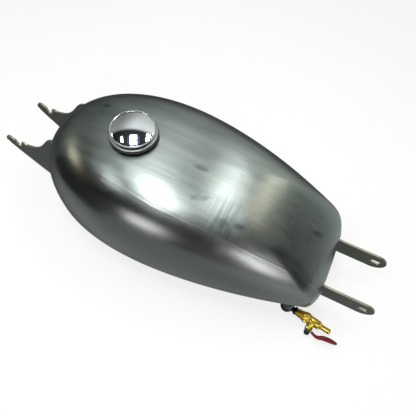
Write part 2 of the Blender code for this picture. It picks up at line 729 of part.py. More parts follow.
elbow_axis = add_empty("elbow_axis", Matrix.Translation(corner))
leg_top = ELBOW_DROP - BUNG_LENGTH - 1.0
elbow = lathe("outlet_elbow", [
    (0.0, ELBOW_DROP - 2.0), (ELBOW_MALE_R - 0.6, ELBOW_DROP - 2.0), (ELBOW_MALE_R, ELBOW_DROP - 2.6),
    (ELBOW_MALE_R, leg_top + 0.5), (ELBOW_LEG_R, leg_top), (ELBOW_LEG_R, 0.0), (0.0, 0.0),
], DARK_STEEL, elbow_axis, steps=22)
bend_bm = bmesh.new()
bmesh.ops.create_uvsphere(bend_bm, u_segments=BALL_SIDES, v_segments=BALL_RINGS, radius=ELBOW_R * MM)
bend_mesh = bpy.data.meshes.new("elbow_bend")
bend_bm.to_mesh(bend_mesh)
bend_bm.free()
elbow_bend = add_object("elbow_bend", bend_mesh, parent=elbow_axis)
collar_start = ELBOW_END - SOCKET_LENGTH
elbow_socket = lathe("elbow_socket", [
    (0.0, ELBOW_END), (SOCKET_OUT - 0.5, ELBOW_END), (SOCKET_OUT, ELBOW_END - 0.5),
    (SOCKET_OUT, collar_start), (ELBOW_WAIST_R, collar_start - 1.0), (ELBOW_WAIST_R, 0.5), (0.0, 0.5),
], parent=valve_axis, steps=22)
socket_bore = lathe("socket_bore", [
    (0.0, ELBOW_END + 2.0), (SOCKET_R, ELBOW_END + 2.0), (SOCKET_R, ELBOW_END - SOCKET_DEPTH),
    (ELBOW_WAIST_BORE, ELBOW_END - SOCKET_DEPTH), (ELBOW_WAIST_BORE, 0.2), (0.0, 0.2),
], parent=valve_axis, steps=24)
leg_bore = cylinder("leg_bore", FUEL_R, -1.0, ELBOW_DROP + 2.0, parent=elbow_axis, segments=20)
combine(elbow, elbow_bend, "UNION")
combine(elbow, elbow_socket, "UNION")
combine(elbow, socket_bore, "DIFFERENCE")
combine(elbow, leg_bore, "DIFFERENCE")
sharp_shading(elbow)

# --------------------------------------------------------------------------- ball valve
stem_place = Matrix.Translation((0.0, 0.0, STEM_AT * MM)) @ Matrix.Rotation(math.radians(90.0), 4, "Y")
stem_axis = add_empty("stem_axis", stem_place, valve_axis)


def thread_profile(radius, start, end, pitch, depth):
    """Crests and roots of a taper thread along the axis, from its far end back to its start."""
    points = []
    count = max(1, round((end - start) / pitch))
    for i in range(count):
        z = end - (end - start) * i / count
        crest = radius + MALE_TAPER * (z - start)
        points.append((crest - depth, z))
        points.append((crest, z - 0.5 * pitch))
    points.append((radius - depth, start))
    return points


valve_body = lathe("valve_body", [
    (0.0, BODY_END), (BODY_R - 0.4, BODY_END), (BODY_R, BODY_END - 0.4), (BODY_R, HEX_END + 4.0),
    (BODY_R + 0.5, HEX_END + 3.4), (BODY_R + 0.5, HEX_END + 1.6), (BODY_R - 0.4, HEX_END + 1.0),
    (BODY_R - 0.4, HEX_START - 0.2),
] + thread_profile(MALE_R, VALVE_START + 0.8, HEX_START - 0.6, 1.8, 0.6)
    + [(MALE_R - 1.0, VALVE_START), (0.0, VALVE_START)], BRASS, valve_axis, steps=20)
hexagon = cylinder(
    "valve_hexagon", 0.5 * HEX_FLATS / math.cos(math.radians(30.0)), HEX_START, HEX_END,
    parent=valve_axis, segments=6, turn=math.radians(30.0),
)
boss = lathe("stem_boss", [
    (0.0, BOSS_TOP), (BOSS_R - 0.5, BOSS_TOP), (BOSS_R, BOSS_TOP - 0.5), (BOSS_R, BOSS_TOP - 3.6),
    (BOSS_R - 0.5, BOSS_TOP - 4.1), (BOSS_R - 0.5, 2.0), (0.0, 2.0),
], parent=stem_axis, steps=24)
cavity = lathe("valve_cavity", [
    (0.0, BODY_END + 2.0), (CAVITY_R, BODY_END + 2.0), (CAVITY_R, STEM_AT - BALL_R - 2.2),
    (PORT_R, STEM_AT - BALL_R - 2.2), (PORT_R, VALVE_START - 2.0), (0.0, VALVE_START - 2.0),
], parent=valve_axis, steps=24)
stem_bore = lathe("stem_bore", [
    (0.0, BOSS_TOP + 2.0), (STEM_BORE + 1.2, BOSS_TOP + 2.0), (STEM_BORE + 1.2, BOSS_TOP - 4.0),
    (STEM_BORE, BOSS_TOP - 4.0), (STEM_BORE, 1.0), (0.0, 1.0),
], parent=stem_axis, steps=20)
combine(valve_body, hexagon, "UNION")
combine(valve_body, boss, "UNION")
combine(valve_body, cavity, "DIFFERENCE")
combine(valve_body, stem_bore, "DIFFERENCE")
sharp_shading(valve_body)

insert_from = STEM_AT + BALL_R + 1.6
barb_profile = [(0.0, BARB_END)]
barb_pitch = (BARB_END - BARB_COLLAR_END - 2.0) / BARB_COUNT
for i in range(BARB_COUNT):
    ridge_z = BARB_END - i * barb_pitch
    barb_profile.append((BARB_R, ridge_z))
    barb_profile.append((BARB_RIDGE, ridge_z - 0.8 * barb_pitch))
    barb_profile.append((BARB_R, ridge_z - 0.86 * barb_pitch))
barb = lathe("valve_barb", barb_profile + [
    (BARB_R, BARB_COLLAR_END - 0.4), (BODY_R - 1.0, BARB_COLLAR_END - 0.4),
    (BODY_R - 1.0, BODY_END + 1.0), (CAVITY_R - GAP, BODY_END + 1.0), (CAVITY_R - GAP, insert_from),
    (0.0, insert_from),
], BRASS, valve_axis, steps=24)
collar = cylinder(
    "barb_collar", (BODY_R - 0.2) / math.cos(math.radians(30.0)) - 0.6, BODY_END + GAP, BARB_COLLAR_END,
    parent=valve_axis, segments=6,
)
collar_bore = cylinder("collar_bore", PORT_R, BODY_END - 8.0, BARB_END + 2.0, parent=valve_axis, segments=24)
combine(barb, collar, "UNION")
combine(barb, collar_bore, "DIFFERENCE")
sharp_shading(barb)

seat_out = CAVITY_R - GAP
for name, near_z, far_z in (
    ("ball_seat_inlet", STEM_AT - BALL_R - 1.9, STEM_AT - SEAT_FACE),
    ("ball_seat_outlet", STEM_AT + SEAT_FACE, insert_from - GAP),
):
    toward = 1.0 if near_z < STEM_AT - 4.0 else -1.0
    inner_end = far_z if toward > 0.0 else near_z
    outer_end = near_z if toward > 0.0 else far_z
    ring = lathe(name, [
        (PORT_R, max(inner_end, outer_end)), (seat_out, max(inner_end, outer_end)),
        (seat_out, min(inner_end, outer_end)), (PORT_R, min(inner_end, outer_end)),
    ], PTFE, valve_axis, steps=20)
    seat_bm = bmesh.new()
    bmesh.ops.create_uvsphere(
        seat_bm, u_segments=BALL_SIDES, v_segments=BALL_RINGS, radius=(BALL_R + SEAT_CLEAR) * MM
    )
    seat_mesh = bpy.data.meshes.new(name + "_ball")
    seat_bm.to_mesh(seat_mesh)
    seat_bm.free()
    seat_ball = add_object(name + "_ball", seat_mesh, parent=valve_axis)
    seat_ball.location = (0.0, 0.0, STEM_AT * MM)
    combine(ring, seat_ball, "DIFFERENCE")
    sharp_shading(ring)

ball_bm = bmesh.new()
bmesh.ops.create_uvsphere(ball_bm, u_segments=BALL_SIDES, v_segments=BALL_RINGS, radius=BALL_R * MM)
ball_mesh = bpy.data.meshes.new("valve_ball")
ball_bm.to_mesh(ball_mesh)
ball_bm.free()
ball = add_object("valve_ball", ball_mesh, CHROME, stem_axis)
ball_bore = cylinder("ball_bore", PORT_R, -8.0, 8.0, parent=valve_axis, segments=20)
ball_bore.location.z = STEM_AT * MM
tang_slot = box("tang_slot", (-6.0, -0.8, BALL_R - 1.4), (6.0, 0.8, BALL_R + 2.0), parent=stem_axis)
combine(ball, ball_bore, "DIFFERENCE")
combine(ball, tang_slot, "DIFFERENCE")
sharp_shading(ball)

stem_top = LEVER_Z + LEVER_T + 4.4
stem = lathe("valve_stem", [
    (0.0, stem_top), (STEM_R - 0.4, stem_top), (STEM_R, stem_top - 0.4), (STEM_R, BALL_R + 0.2),
    (0.0, BALL_R + 0.2),
], BRASS, stem_axis, steps=20)
tang = box("stem_tang", (-1.6, -0.5, BALL_R - 1.0), (1.6, 0.5, BALL_R + 1.0), parent=stem_axis)
combine(stem, tang, "UNION")
sharp_shading(stem)
lathe("stem_seal", [
    (STEM_R + 0.1, BOSS_TOP - 0.4), (STEM_BORE + 0.9, BOSS_TOP - 0.4), (STEM_BORE + 0.9, BOSS_TOP - 3.7),
    (STEM_R + 0.1, BOSS_TOP - 3.7),
], PTFE, stem_axis, steps=20)


# --------------------------------------------------------------------------- lever
def lever_strip(margin):
    """Side view of the bent strip, thickened by a margin on both faces."""
    line = curve_through([Vector((x, 0.0, z)) for x, z in LEVER_LINE])
    half = 0.5 * LEVER_T + margin
    low = []
    high = []
    for i, point in enumerate(line):
        ahead = Vector(line[min(i + 1, len(line) - 1)]) - Vector(line[max(i - 1, 0)])
        normal = Vector((-ahead.z, 0.0, ahead.x)).normalized()
        low.append((point[0] - half * normal.x, point[2] - half * normal.z))
        high.append((point[0] + half * normal.x, point[2] + half * normal.z))
    return low + high[::-1]


def lever_height(distance):
    """Height of the strip's middle at a distance from the stem."""
    line = curve_through(list(LEVER_LINE))
    for a, b in zip(line, line[1:]):
        if distance <= b[0]:
            t = (distance - a[0]) / (b[0] - a[0])
            return a[1] + (b[1] - a[1]) * t
    slope = (line[-1][1] - line[-2][1]) / (line[-1][0] - line[-2][0])
    return line[-1][1] + slope * (distance - line[-1][0])


lever_end = LEVER_LINE[-1][0]
lever_frame = add_empty("lever_frame", Matrix.Rotation(math.radians(180.0), 4, "Z"), stem_axis)
strip_side = lever_strip(0.0)
lever = outline("lever_arm", [strip_side], -2.0 * LEVER_W, 2.0 * LEVER_W, "XZ", ZINC, lever_frame)
eye = arc(0.0, 0.0, LEVER_EYE_R, 130.0, 230.0, 8)
plan = eye + [
    (LEVER_NECK, -LEVER_W), (lever_end + 2.0, -LEVER_W), (lever_end + 2.0, LEVER_W), (LEVER_NECK, LEVER_W)
]
lever_plan = outline("lever_plan", [plan], LEVER_Z - 8.0, LEVER_Z + 10.0, parent=lever_frame)
lever_hole = cylinder(
    "lever_hole", STEM_R + 0.2, LEVER_Z - 4.0, LEVER_Z + 10.0, parent=lever_frame, segments=20
)
combine(lever, lever_plan, "INTERSECT")
combine(lever, lever_hole, "DIFFERENCE")
sharp_shading(lever)


def fuller(value):
    return math.copysign(abs(value) ** GRIP_POWER, value)


grip_bm = bmesh.new()
rings = []
for distance, half_width, half_thickness in GRIP_STATIONS:
    middle = lever_height(distance)
    ring = []
    for k in range(GRIP_SIDES):
        angle = 2.0 * math.pi * k / GRIP_SIDES
        y = half_width * fuller(math.cos(angle))
        z = middle + half_thickness * fuller(math.sin(angle))
        ring.append(grip_bm.verts.new(Vector((distance, y, z)) * MM))
    rings.append(ring)
for back, front in zip(rings, rings[1:]):
    for k in range(GRIP_SIDES):
        following = (k + 1) % GRIP_SIDES
        grip_bm.faces.new((back[k], back[following], front[following], front[k]))
grip_bm.faces.new(rings[0])
grip_bm.faces.new(rings[-1])
bmesh.ops.recalc_face_normals(grip_bm, faces=grip_bm.faces)
grip_mesh = bpy.data.meshes.new("lever_grip")
grip_bm.to_mesh(grip_mesh)
grip_bm.free()
grip = add_object("lever_grip", grip_mesh, VINYL, lever_frame)
pocket_side = lever_strip(GAP)
pocket = outline(
    "grip_pocket", [pocket_side], -LEVER_W - GAP, LEVER_W + GAP, "XZ", parent=lever_frame,
)
pocket_end = box(
    "grip_pocket_end",
    (lever_end - 0.5, -LEVER_W - GAP, lever_height(lever_end) - 0.5 * LEVER_T - GAP - 0.1),
    (lever_end + GAP, LEVER_W + GAP, lever_height(lever_end) + 0.5 * LEVER_T + GAP + 0.05),
    parent=lever_frame,
)
combine(grip, pocket, "DIFFERENCE")
combine(grip, pocket_end, "DIFFERENCE")
sharp_shading(grip, 50.0)

washer_low = LEVER_Z + LEVER_T + GAP
lathe("lever_washer", [
    (STEM_R + 0.15, washer_low + 0.7), (WASHER_R, washer_low + 0.7), (WASHER_R, washer_low),
    (STEM_R + 0.15, washer_low),
], ZINC, stem_axis, steps=24)
nut_low = washer_low + 0.7 + GAP
nut = lathe("lever_nut", [
    (0.0, nut_low + 4.4), (1.8, nut_low + 4.1), (3.1, nut_low + 3.3), (NUT_R, nut_low + 2.4),
    (NUT_R, nut_low + 0.4), (0.0, nut_low + 0.4),
], ZINC, stem_axis, steps=24)
nut_hexagon = cylinder("nut_hexagon", NUT_R + 0.8, nut_low, nut_low + 2.2, parent=stem_axis, segments=6)
nut_bore = cylinder("nut_bore", STEM_R + 0.1, nut_low - 2.0, nut_low + 3.5, parent=stem_axis, segments=20)
combine(nut, nut_hexagon, "UNION")
combine(nut, nut_bore, "DIFFERENCE")
sharp_shading(nut)

# The frame's origin is the centre of the bounding box.
for made in list(parts.objects) + list(tools.objects):
    if made.parent is None:
        made.location.x += FRAME_SHIFT * MM
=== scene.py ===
"""Looks for the bare-steel motorcycle fuel tank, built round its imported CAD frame."""

import json
import math

import bmesh
import bpy
from mathutils import Matrix, Vector


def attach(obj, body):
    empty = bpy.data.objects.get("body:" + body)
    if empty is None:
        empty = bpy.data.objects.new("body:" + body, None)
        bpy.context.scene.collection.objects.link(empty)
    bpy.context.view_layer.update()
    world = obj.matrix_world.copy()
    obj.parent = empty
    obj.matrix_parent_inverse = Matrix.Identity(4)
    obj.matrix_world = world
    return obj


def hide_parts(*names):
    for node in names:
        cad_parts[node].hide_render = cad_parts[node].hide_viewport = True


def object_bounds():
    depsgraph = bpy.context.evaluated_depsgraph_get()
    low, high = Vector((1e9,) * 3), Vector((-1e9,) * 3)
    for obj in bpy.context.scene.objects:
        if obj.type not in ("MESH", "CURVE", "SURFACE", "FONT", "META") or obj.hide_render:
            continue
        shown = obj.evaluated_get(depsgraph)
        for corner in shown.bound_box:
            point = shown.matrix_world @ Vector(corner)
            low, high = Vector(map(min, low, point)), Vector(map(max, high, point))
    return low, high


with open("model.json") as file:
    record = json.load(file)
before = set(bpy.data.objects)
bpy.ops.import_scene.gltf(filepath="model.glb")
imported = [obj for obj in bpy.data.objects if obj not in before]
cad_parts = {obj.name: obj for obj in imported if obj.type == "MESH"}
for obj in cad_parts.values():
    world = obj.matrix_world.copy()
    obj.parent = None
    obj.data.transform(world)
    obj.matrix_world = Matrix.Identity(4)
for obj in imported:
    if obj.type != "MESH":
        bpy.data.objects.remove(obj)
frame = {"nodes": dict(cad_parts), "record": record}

CAD_LOW, CAD_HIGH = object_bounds()
MM = 0.001

# ---------------- body shape, as in the CAD
BODY_FRONT = -214.3
BODY_WIDEST = -27.3
BODY_REAR = 222.6
HALF_WIDTH = 117.0
REAR_HALF_WIDTH = 68.5
FRONT_POWER = 2.243
TAPER_POWER = 1.745
TAIL_CORNER = 21.0
TAIL_POWER = 3.0
CROWN = 67.7
CROWN_DROP = 59.3
CROWN_POWER = 3.56
SILL = -37.6
SECTION_POWER = 4.416
FLANK_POWER = 2.487
SHEET = 1.5
SEAM_HALF = 74.0
SEAM_WIDEST = -13.5
SEAM_FRONT_LOSS = 25.0
SEAM_REAR_LOSS = 22.0
SEAM_FRONT_POWER = 1.1
SEAM_REAR_POWER = 1.6
TUNNEL_OUTER = 40.3
TUNNEL_FRONT_Z = 16.0
TUNNEL_REAR_Z = -22.0
CAP_X = -79.5
NECK_HOLE = 24.4


def plan_half(x):
    if x < BODY_WIDEST:
        t = min((BODY_WIDEST - x) / (BODY_WIDEST - BODY_FRONT), 1.0)
        return HALF_WIDTH * max(1.0 - t**FRONT_POWER, 0.0) ** (1.0 / FRONT_POWER)
    t = min((x - BODY_WIDEST) / (BODY_REAR - BODY_WIDEST), 1.0)
    width = HALF_WIDTH - (HALF_WIDTH - REAR_HALF_WIDTH) * t**TAPER_POWER
    corner = min(max((x - BODY_REAR + TAIL_CORNER) / TAIL_CORNER, 0.0), 1.0)
    return width * max(1.0 - corner**TAIL_POWER, 0.0) ** (1.0 / TAIL_POWER)


def crown_z(x):
    t = min(max((x - BODY_FRONT) / (BODY_REAR - BODY_FRONT), 0.0), 1.0)
    return CROWN - CROWN_DROP * t**CROWN_POWER


def plan_point(angle):
    middle = 0.5 * (BODY_FRONT + BODY_REAR)
    half = 0.5 * (BODY_REAR - BODY_FRONT)
    x = middle + half * math.cos(angle)
    y = plan_half(x)
    return x, y if math.sin(angle) >= 0.0 else -y


def skin_point(angle, polar):
    """Outer skin at a sector angle; polar runs from 0 on the crown to 1 at the sill."""
    rho = math.sin(0.5 * math.pi * polar) ** (2.0 / SECTION_POWER)
    height = max(math.cos(0.5 * math.pi * polar), 0.0) ** (2.0 / FLANK_POWER)
    edge_x, edge_y = plan_point(angle)
    x = BODY_WIDEST + rho * (edge_x - BODY_WIDEST)
    return Vector((x, rho * edge_y, SILL + (crown_z(x) - SILL) * height))


def skin_z(x, y):
    low, high = 0.0, 1.0
    for _ in range(36):
        rho = 0.5 * (low + high)
        station = BODY_WIDEST + (x - BODY_WIDEST) / rho
        if BODY_FRONT < station < BODY_REAR and abs(y) / rho < plan_half(station):
            high = rho
        else:
            low = rho
    if high >= 1.0:
        return SILL
    return SILL + (crown_z(x) - SILL) * max(1.0 - high**SECTION_POWER, 0.0) ** (1.0 / FLANK_POWER)


def seam_half(x):
    if x < SEAM_WIDEST:
        t = (SEAM_WIDEST - x) / (SEAM_WIDEST - BODY_FRONT)
        return SEAM_HALF - SEAM_FRONT_LOSS * t**SEAM_FRONT_POWER
    t = (x - SEAM_WIDEST) / (BODY_REAR - SEAM_WIDEST)
    return SEAM_HALF - SEAM_REAR_LOSS * t**SEAM_REAR_POWER


def tunnel_z(x):
    t = (x - BODY_FRONT) / (BODY_REAR - BODY_FRONT)
    return TUNNEL_FRONT_Z + (TUNNEL_REAR_Z - TUNNEL_FRONT_Z) * t


# ---------------- helpers
pieces = bpy.data.collections.new("looks")
bpy.context.scene.collection.children.link(pieces)


def add(name, mesh, look=None, body=None):
    made = bpy.data.objects.new(name, mesh)
    pieces.objects.link(made)
    if look is not None:
        mesh.materials.append(look)
    if body is not None:
        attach(made, body)
    return made


def mesh_from(name, bm):
    mesh = bpy.data.meshes.new(name)
    bm.to_mesh(mesh)
    bm.free()
    return mesh


def smooth(mesh, degrees):
    mesh.shade_smooth()
    mesh.set_sharp_from_angle(angle=math.radians(degrees))


def applied(made):
    """The object's modifiers applied, so that the mesh is final."""
    bpy.context.view_layer.update()
    graph = bpy.context.evaluated_depsgraph_get()
    mesh = bpy.data.meshes.new_from_object(made.evaluated_get(graph))
    old = made.data
    made.modifiers.clear()
    made.data = mesh
    bpy.data.meshes.remove(old)
    return mesh


def cut(made, cutter, operation="DIFFERENCE"):
    boolean = made.modifiers.new("cut", "BOOLEAN")
    boolean.operation = operation
    boolean.object = cutter


def box_mesh(name, low, high):
    bm = bmesh.new()
    size = [(h - g) * MM for g, h in zip(low, high)]
    centre = [0.5 * (g + h) * MM for g, h in zip(low, high)]
    scale = Matrix.Diagonal((*size, 1.0))
    bmesh.ops.create_cube(bm, size=1.0, matrix=Matrix.Translation(centre) @ scale)
    return mesh_from(name, bm)


def cone_mesh(name, radius, z_from, z_to, segments=96):
    bm = bmesh.new()
    placed = Matrix.Translation((0.0, 0.0, 0.5 * (z_from + z_to) * MM))
    bmesh.ops.create_cone(
        bm, cap_ends=True, segments=segments, radius1=radius * MM, radius2=radius * MM,
        depth=(z_to - z_from) * MM, matrix=placed,
    )
    return mesh_from(name, bm)


# ---------------- materials
RANGE_SOCKETS = ("From Min", "From Max", "To Min", "To Max")


class Look:
    """A Principled material with short calls for the nodes that it needs."""

    def __init__(self, name, colour, roughness, metallic, **sockets):
        self.material = bpy.data.materials.new(name)
        self.material.use_nodes = True
        self.nodes = self.material.node_tree.nodes
        self.links = self.material.node_tree.links
        self.shader = self.nodes["Principled BSDF"]
        self.shader.inputs["Base Color"].default_value = (*colour, 1.0)
        self.shader.inputs["Roughness"].default_value = roughness
        self.shader.inputs["Metallic"].default_value = metallic
        for key, value in sockets.items():
            self.shader.inputs[key.replace("_", " ")].default_value = value
        self.coordinates = self.nodes.new("ShaderNodeTexCoord")

    def join(self, out, into):
        self.links.new(out, into)

    def place(self, scale, turn=(0.0, 0.0, 0.0)):
        node = self.nodes.new("ShaderNodeMapping")
        node.inputs["Scale"].default_value = scale
        node.inputs["Rotation"].default_value = turn
        self.join(self.coordinates.outputs["Object"], node.inputs["Vector"])
        return node.outputs["Vector"]

    def noise(self, scale, stretch=(1.0, 1.0, 1.0), turn=(0.0, 0.0, 0.0), detail=3.0, rough=0.5):
        node = self.nodes.new("ShaderNodeTexNoise")
        node.inputs["Scale"].default_value = scale
        node.inputs["Detail"].default_value = detail
        node.inputs["Roughness"].default_value = rough
        self.join(self.place(stretch, turn), node.inputs["Vector"])
        return node.outputs["Fac"]

    def range(self, value, low, high, to_low, to_high, smoothly=False):
        node = self.nodes.new("ShaderNodeMapRange")
        node.clamp = True
        if smoothly:
            node.interpolation_type = "SMOOTHSTEP"
        for key, number in zip(RANGE_SOCKETS, (low, high, to_low, to_high)):
            node.inputs[key].default_value = number
        self.join(value, node.inputs["Value"])
        return node.outputs["Result"]

    def math(self, operation, a, b):
        node = self.nodes.new("ShaderNodeMath")
        node.operation = operation
        for socket, value in zip(node.inputs, (a, b)):
            if isinstance(value, (int, float)):
                socket.default_value = value
            else:
                self.join(value, socket)
        return node.outputs[0]

    def mix(self, factor, a, b):
        node = self.nodes.new("ShaderNodeMix")
        node.data_type = "RGBA"
        for socket, value in ((node.inputs["Factor"], factor), (node.inputs[6], a), (node.inputs[7], b)):
            if isinstance(value, tuple):
                socket.default_value = (*value, 1.0)
            elif isinstance(value, (int, float)):
                socket.default_value = value
            else:
                self.join(value, socket)
        return node.outputs[2]

    def across_grain(self, amount):
        """Spreads reflections across a grain that runs along X."""
        way = self.nodes.new("ShaderNodeCombineXYZ")
        way.inputs["Y"].default_value = 1.0
        self.join(way.outputs["Vector"], self.shader.inputs["Tangent"])
        self.shader.inputs["Anisotropic"].default_value = amount

    def split(self, vector, axis):
        node = self.nodes.new("ShaderNodeSeparateXYZ")
        self.join(vector, node.inputs["Vector"])
        return node.outputs[axis]

    def facing(self, way, low, high, to_low, to_high):
        """A value that follows how far the surface faces a direction."""
        surface = self.nodes.new("ShaderNodeNewGeometry")
        product = self.nodes.new("ShaderNodeVectorMath")
        product.operation = "DOT_PRODUCT"
        product.inputs[1].default_value = way
        self.join(surface.outputs["Normal"], product.inputs[0])
        return self.range(product.outputs["Value"], low, high, to_low, to_high, True)

    def height(self, low, high, to_low, to_high):
        """A value that follows the height on the object."""
        level = self.split(self.coordinates.outputs["Object"], "Z")
        return self.range(level, low, high, to_low, to_high, True)

    def blotches(self, value, dark, pale, low=0.3, high=0.7, amount=1.0):
        """A mix of two colours that follows a noise value."""
        return self.mix(self.range(value, low, high, 0.0, amount), dark, pale)

    def largest(self, spots, soft):
        """The union of soft-edged marks, each a (centre, radii, turn)."""
        union = None
        for centre, radii, turn in spots:
            mark = self.spot(centre, radii, turn, soft)
            union = mark if union is None else self.math("MAXIMUM", union, mark)
        return union

    def attribute(self, name):
        node = self.nodes.new("ShaderNodeAttribute")
        node.attribute_name = name
        return node.outputs["Fac"]

    def spot(self, centre, radii, turn=0.0, soft=0.5):
        """A soft-edged mark: 1 inside an ellipsoid round a point of the object, 0 outside."""
        shift = self.nodes.new("ShaderNodeVectorMath")
        shift.operation = "SUBTRACT"
        shift.inputs[1].default_value = [c * MM for c in centre]
        self.join(self.coordinates.outputs["Object"], shift.inputs[0])
        node = self.nodes.new("ShaderNodeMapping")
        node.inputs["Rotation"].default_value = (0.0, 0.0, -turn)
        self.join(shift.outputs[0], node.inputs["Vector"])
        squeeze = self.nodes.new("ShaderNodeVectorMath")
        squeeze.operation = "DIVIDE"
        squeeze.inputs[1].default_value = [r * MM for r in radii]
        self.join(node.outputs["Vector"], squeeze.inputs[0])
        length = self.nodes.new("ShaderNodeVectorMath")
        length.operation = "LENGTH"
        self.join(squeeze.outputs[0], length.inputs[0])
        return self.range(length.outputs["Value"], 1.0 - soft, 1.0 + soft, 1.0, 0.0, smoothly=True)

    def bump(self, height, strength, distance, below=None):
        node = self.nodes.new("ShaderNodeBump")
        node.inputs["Strength"].default_value = strength
        node.inputs["Distance"].default_value = distance
        self.join(height, node.inputs["Height"])
        if below is not None:
            self.join(below, node.inputs["Normal"])
        return node.outputs["Normal"]

    def finish(self, colour=None, roughness=None, normal=None):
        for value, key in ((colour, "Base Color"), (roughness, "Roughness"), (normal, "Normal")):
            if value is not None:
                self.join(value, self.shader.inputs[key])
        return self.material


STAINS = (
    ((16.0, -1.0, 62.0), (8.5, 3.6, 12.0), 0.15),
    ((27.0, -40.0, 58.0), (6.5, 3.6, 12.0), 0.9),
    ((36.0, -37.0, 58.0), (8.0, 3.0, 12.0), 0.6),
    ((70.0, -52.0, 48.0), (7.0, 5.0, 14.0), 0.5),
    ((88.0, -47.0, 44.0), (7.0, 4.0, 14.0), 0.2),
    ((183.0, 8.0, 12.0), (8.0, 3.6, 14.0), 0.4),
    ((-140.0, 30.0, 60.0), (6.0, 3.0, 12.0), 0.1),
)
SCRATCHES = (
    ((93.0, -31.0, 50.0), (15.0, 0.35, 20.0), 0.95),
    ((99.0, -36.0, 50.0), (11.0, 0.3, 20.0), 0.8),
    ((40.0, -30.0, 60.0), (9.0, 0.35, 20.0), 1.2),
    ((120.0, -20.0, 45.0), (12.0, 0.3, 20.0), 0.25),
    ((152.0, -38.0, 30.0), (8.0, 0.35, 20.0), -0.3),
    ((-30.0, -55.0, 60.0), (10.0, 0.3, 20.0), 0.35),
    ((-4.0, 22.0, 66.0), (13.0, 0.3, 20.0), -0.15),
    ((60.0, 40.0, 55.0), (12.0, 0.3, 20.0), 0.5),
    ((150.0, 12.0, 35.0), (7.0, 0.3, 20.0), 1.4),
)
HATCH_CENTRE = (72.0, -46.0, 50.0)
HATCH_RADII = (26.0, 26.0, 30.0)
STEEL_TOP = ((0.124, 0.151, 0.147), (0.166, 0.186, 0.172))
STEEL_SIDE = ((0.102, 0.110, 0.110), (0.129, 0.130, 0.132))
STEEL_STREAK = (0.198, 0.218, 0.206)
# Painted shade, laid on the flanks towards the sill.
STEEL_SILL_PAINTED_SHADE = (0.045, 0.048, 0.046)
STAIN_COLOUR = (0.055, 0.075, 0.075)
HATCH_COLOUR = (0.085, 0.105, 0.105)
SCRATCH_COLOUR = (0.085, 0.10, 0.10)
SEAM_COLOUR = (0.21, 0.22, 0.215)


def raw_steel():
    """Bare pressed sheet: hand-brushed along its length on top, smoother on the flanks."""
    look = Look("raw_steel", (0.15, 0.155, 0.15), 0.32, 1.0)
    look.across_grain(0.5)
    flank = look.attribute("flank")
    on_top = look.math("SUBTRACT", 1.0, look.math("MULTIPLY", flank, 0.75))
    cloudy = look.noise(7.0, (1.0, 1.6, 1.6), detail=4.0)
    fine = look.noise(30.0, (0.5, 1.5, 1.5), detail=5.0)
    grain = look.noise(260.0, (0.035, 1.0, 1.0), (0.0, 0.0, 0.05), detail=4.0, rough=0.6)
    cross = look.noise(240.0, (1.0, 0.06, 0.3), (0.0, 0.0, 0.2), detail=3.0, rough=0.6)
    streak = look.noise(90.0, (0.04, 1.0, 1.0), (0.0, 0.0, -0.06), detail=4.0)
    hatch = look.spot(HATCH_CENTRE, HATCH_RADII, 0.0, 0.6)
    hatched = look.math("MULTIPLY", hatch, look.range(cross, 0.42, 0.6, 0.0, 0.8))
    stained = look.math("MULTIPLY", look.largest(STAINS, 0.55), look.range(fine, 0.35, 0.6, 0.35, 1.0))
    scored = look.largest(SCRATCHES, 0.6)
    from_seam = look.math("ABSOLUTE", look.attribute("seam_offset"), 0.0)
    near_seam = look.range(from_seam, 0.5, 1.5, 1.0, 0.0, smoothly=True)
    seam = look.math("MULTIPLY", near_seam, look.range(fine, 0.3, 0.7, 0.4, 1.0))

    top = look.blotches(cloudy, *STEEL_TOP)
    top = look.blotches(streak, top, STEEL_STREAK, 0.35, 0.7, 0.75)
    top = look.mix(hatched, top, HATCH_COLOUR)
    colour = look.mix(flank, top, look.blotches(cloudy, *STEEL_SIDE))
    # Painted shade: the colour darkens towards the sill, at the bottom of the flanks.
    colour = look.mix(look.height(-0.036, 0.024, 0.78, 0.0), colour, STEEL_SILL_PAINTED_SHADE)
    colour = look.mix(look.math("MULTIPLY", scored, 0.5), colour, SCRATCH_COLOUR)
    colour = look.mix(look.math("MULTIPLY", seam, 0.4), colour, SEAM_COLOUR)
    colour = look.mix(look.math("MULTIPLY", stained, 0.82), colour, STAIN_COLOUR)

    rough = look.range(cloudy, 0.3, 0.7, 0.30, 0.36)
    rough = look.math("ADD", rough, look.range(streak, 0.3, 0.7, -0.02, 0.03))
    uneven = look.math("MULTIPLY", look.range(fine, 0.3, 0.7, -0.035, 0.035), on_top)
    rough = look.math("ADD", rough, uneven)
    rough = look.math("SUBTRACT", rough, look.math("MULTIPLY", flank, 0.06))
    rough = look.math("ADD", rough, look.math("MULTIPLY", hatch, 0.05))

    height = look.math("MULTIPLY", grain, on_top)
    crossing = look.math("MULTIPLY", cross, hatch)
    height = look.math("ADD", height, look.math("MULTIPLY", crossing, 1.3))
    height = look.math("ADD", height, look.math("MULTIPLY", seam, 0.5))
    normal = look.bump(height, 0.26, 0.0006)
    normal = look.bump(look.math("MULTIPLY", fine, on_top), 0.2, 0.0012, normal)
    normal = look.bump(cloudy, 0.25, 0.002, normal)
    return look.finish(colour, rough, normal)


def weld_bead():
    """A weld left as laid: dark, glassy scale with a brown heat tint."""
    look = Look("weld_bead", (0.1, 0.1, 0.1), 0.4, 1.0)
    patch = look.noise(140.0, detail=4.0)
    tint = look.noise(40.0, detail=2.0)
    colour = look.blotches(patch, (0.07, 0.072, 0.07), (0.17, 0.17, 0.16))
    colour = look.blotches(tint, colour, (0.10, 0.085, 0.07), 0.45, 0.7, 0.5)
    rough = look.range(patch, 0.3, 0.7, 0.32, 0.5)
    return look.finish(colour, rough, look.bump(patch, 0.3, 0.0004))


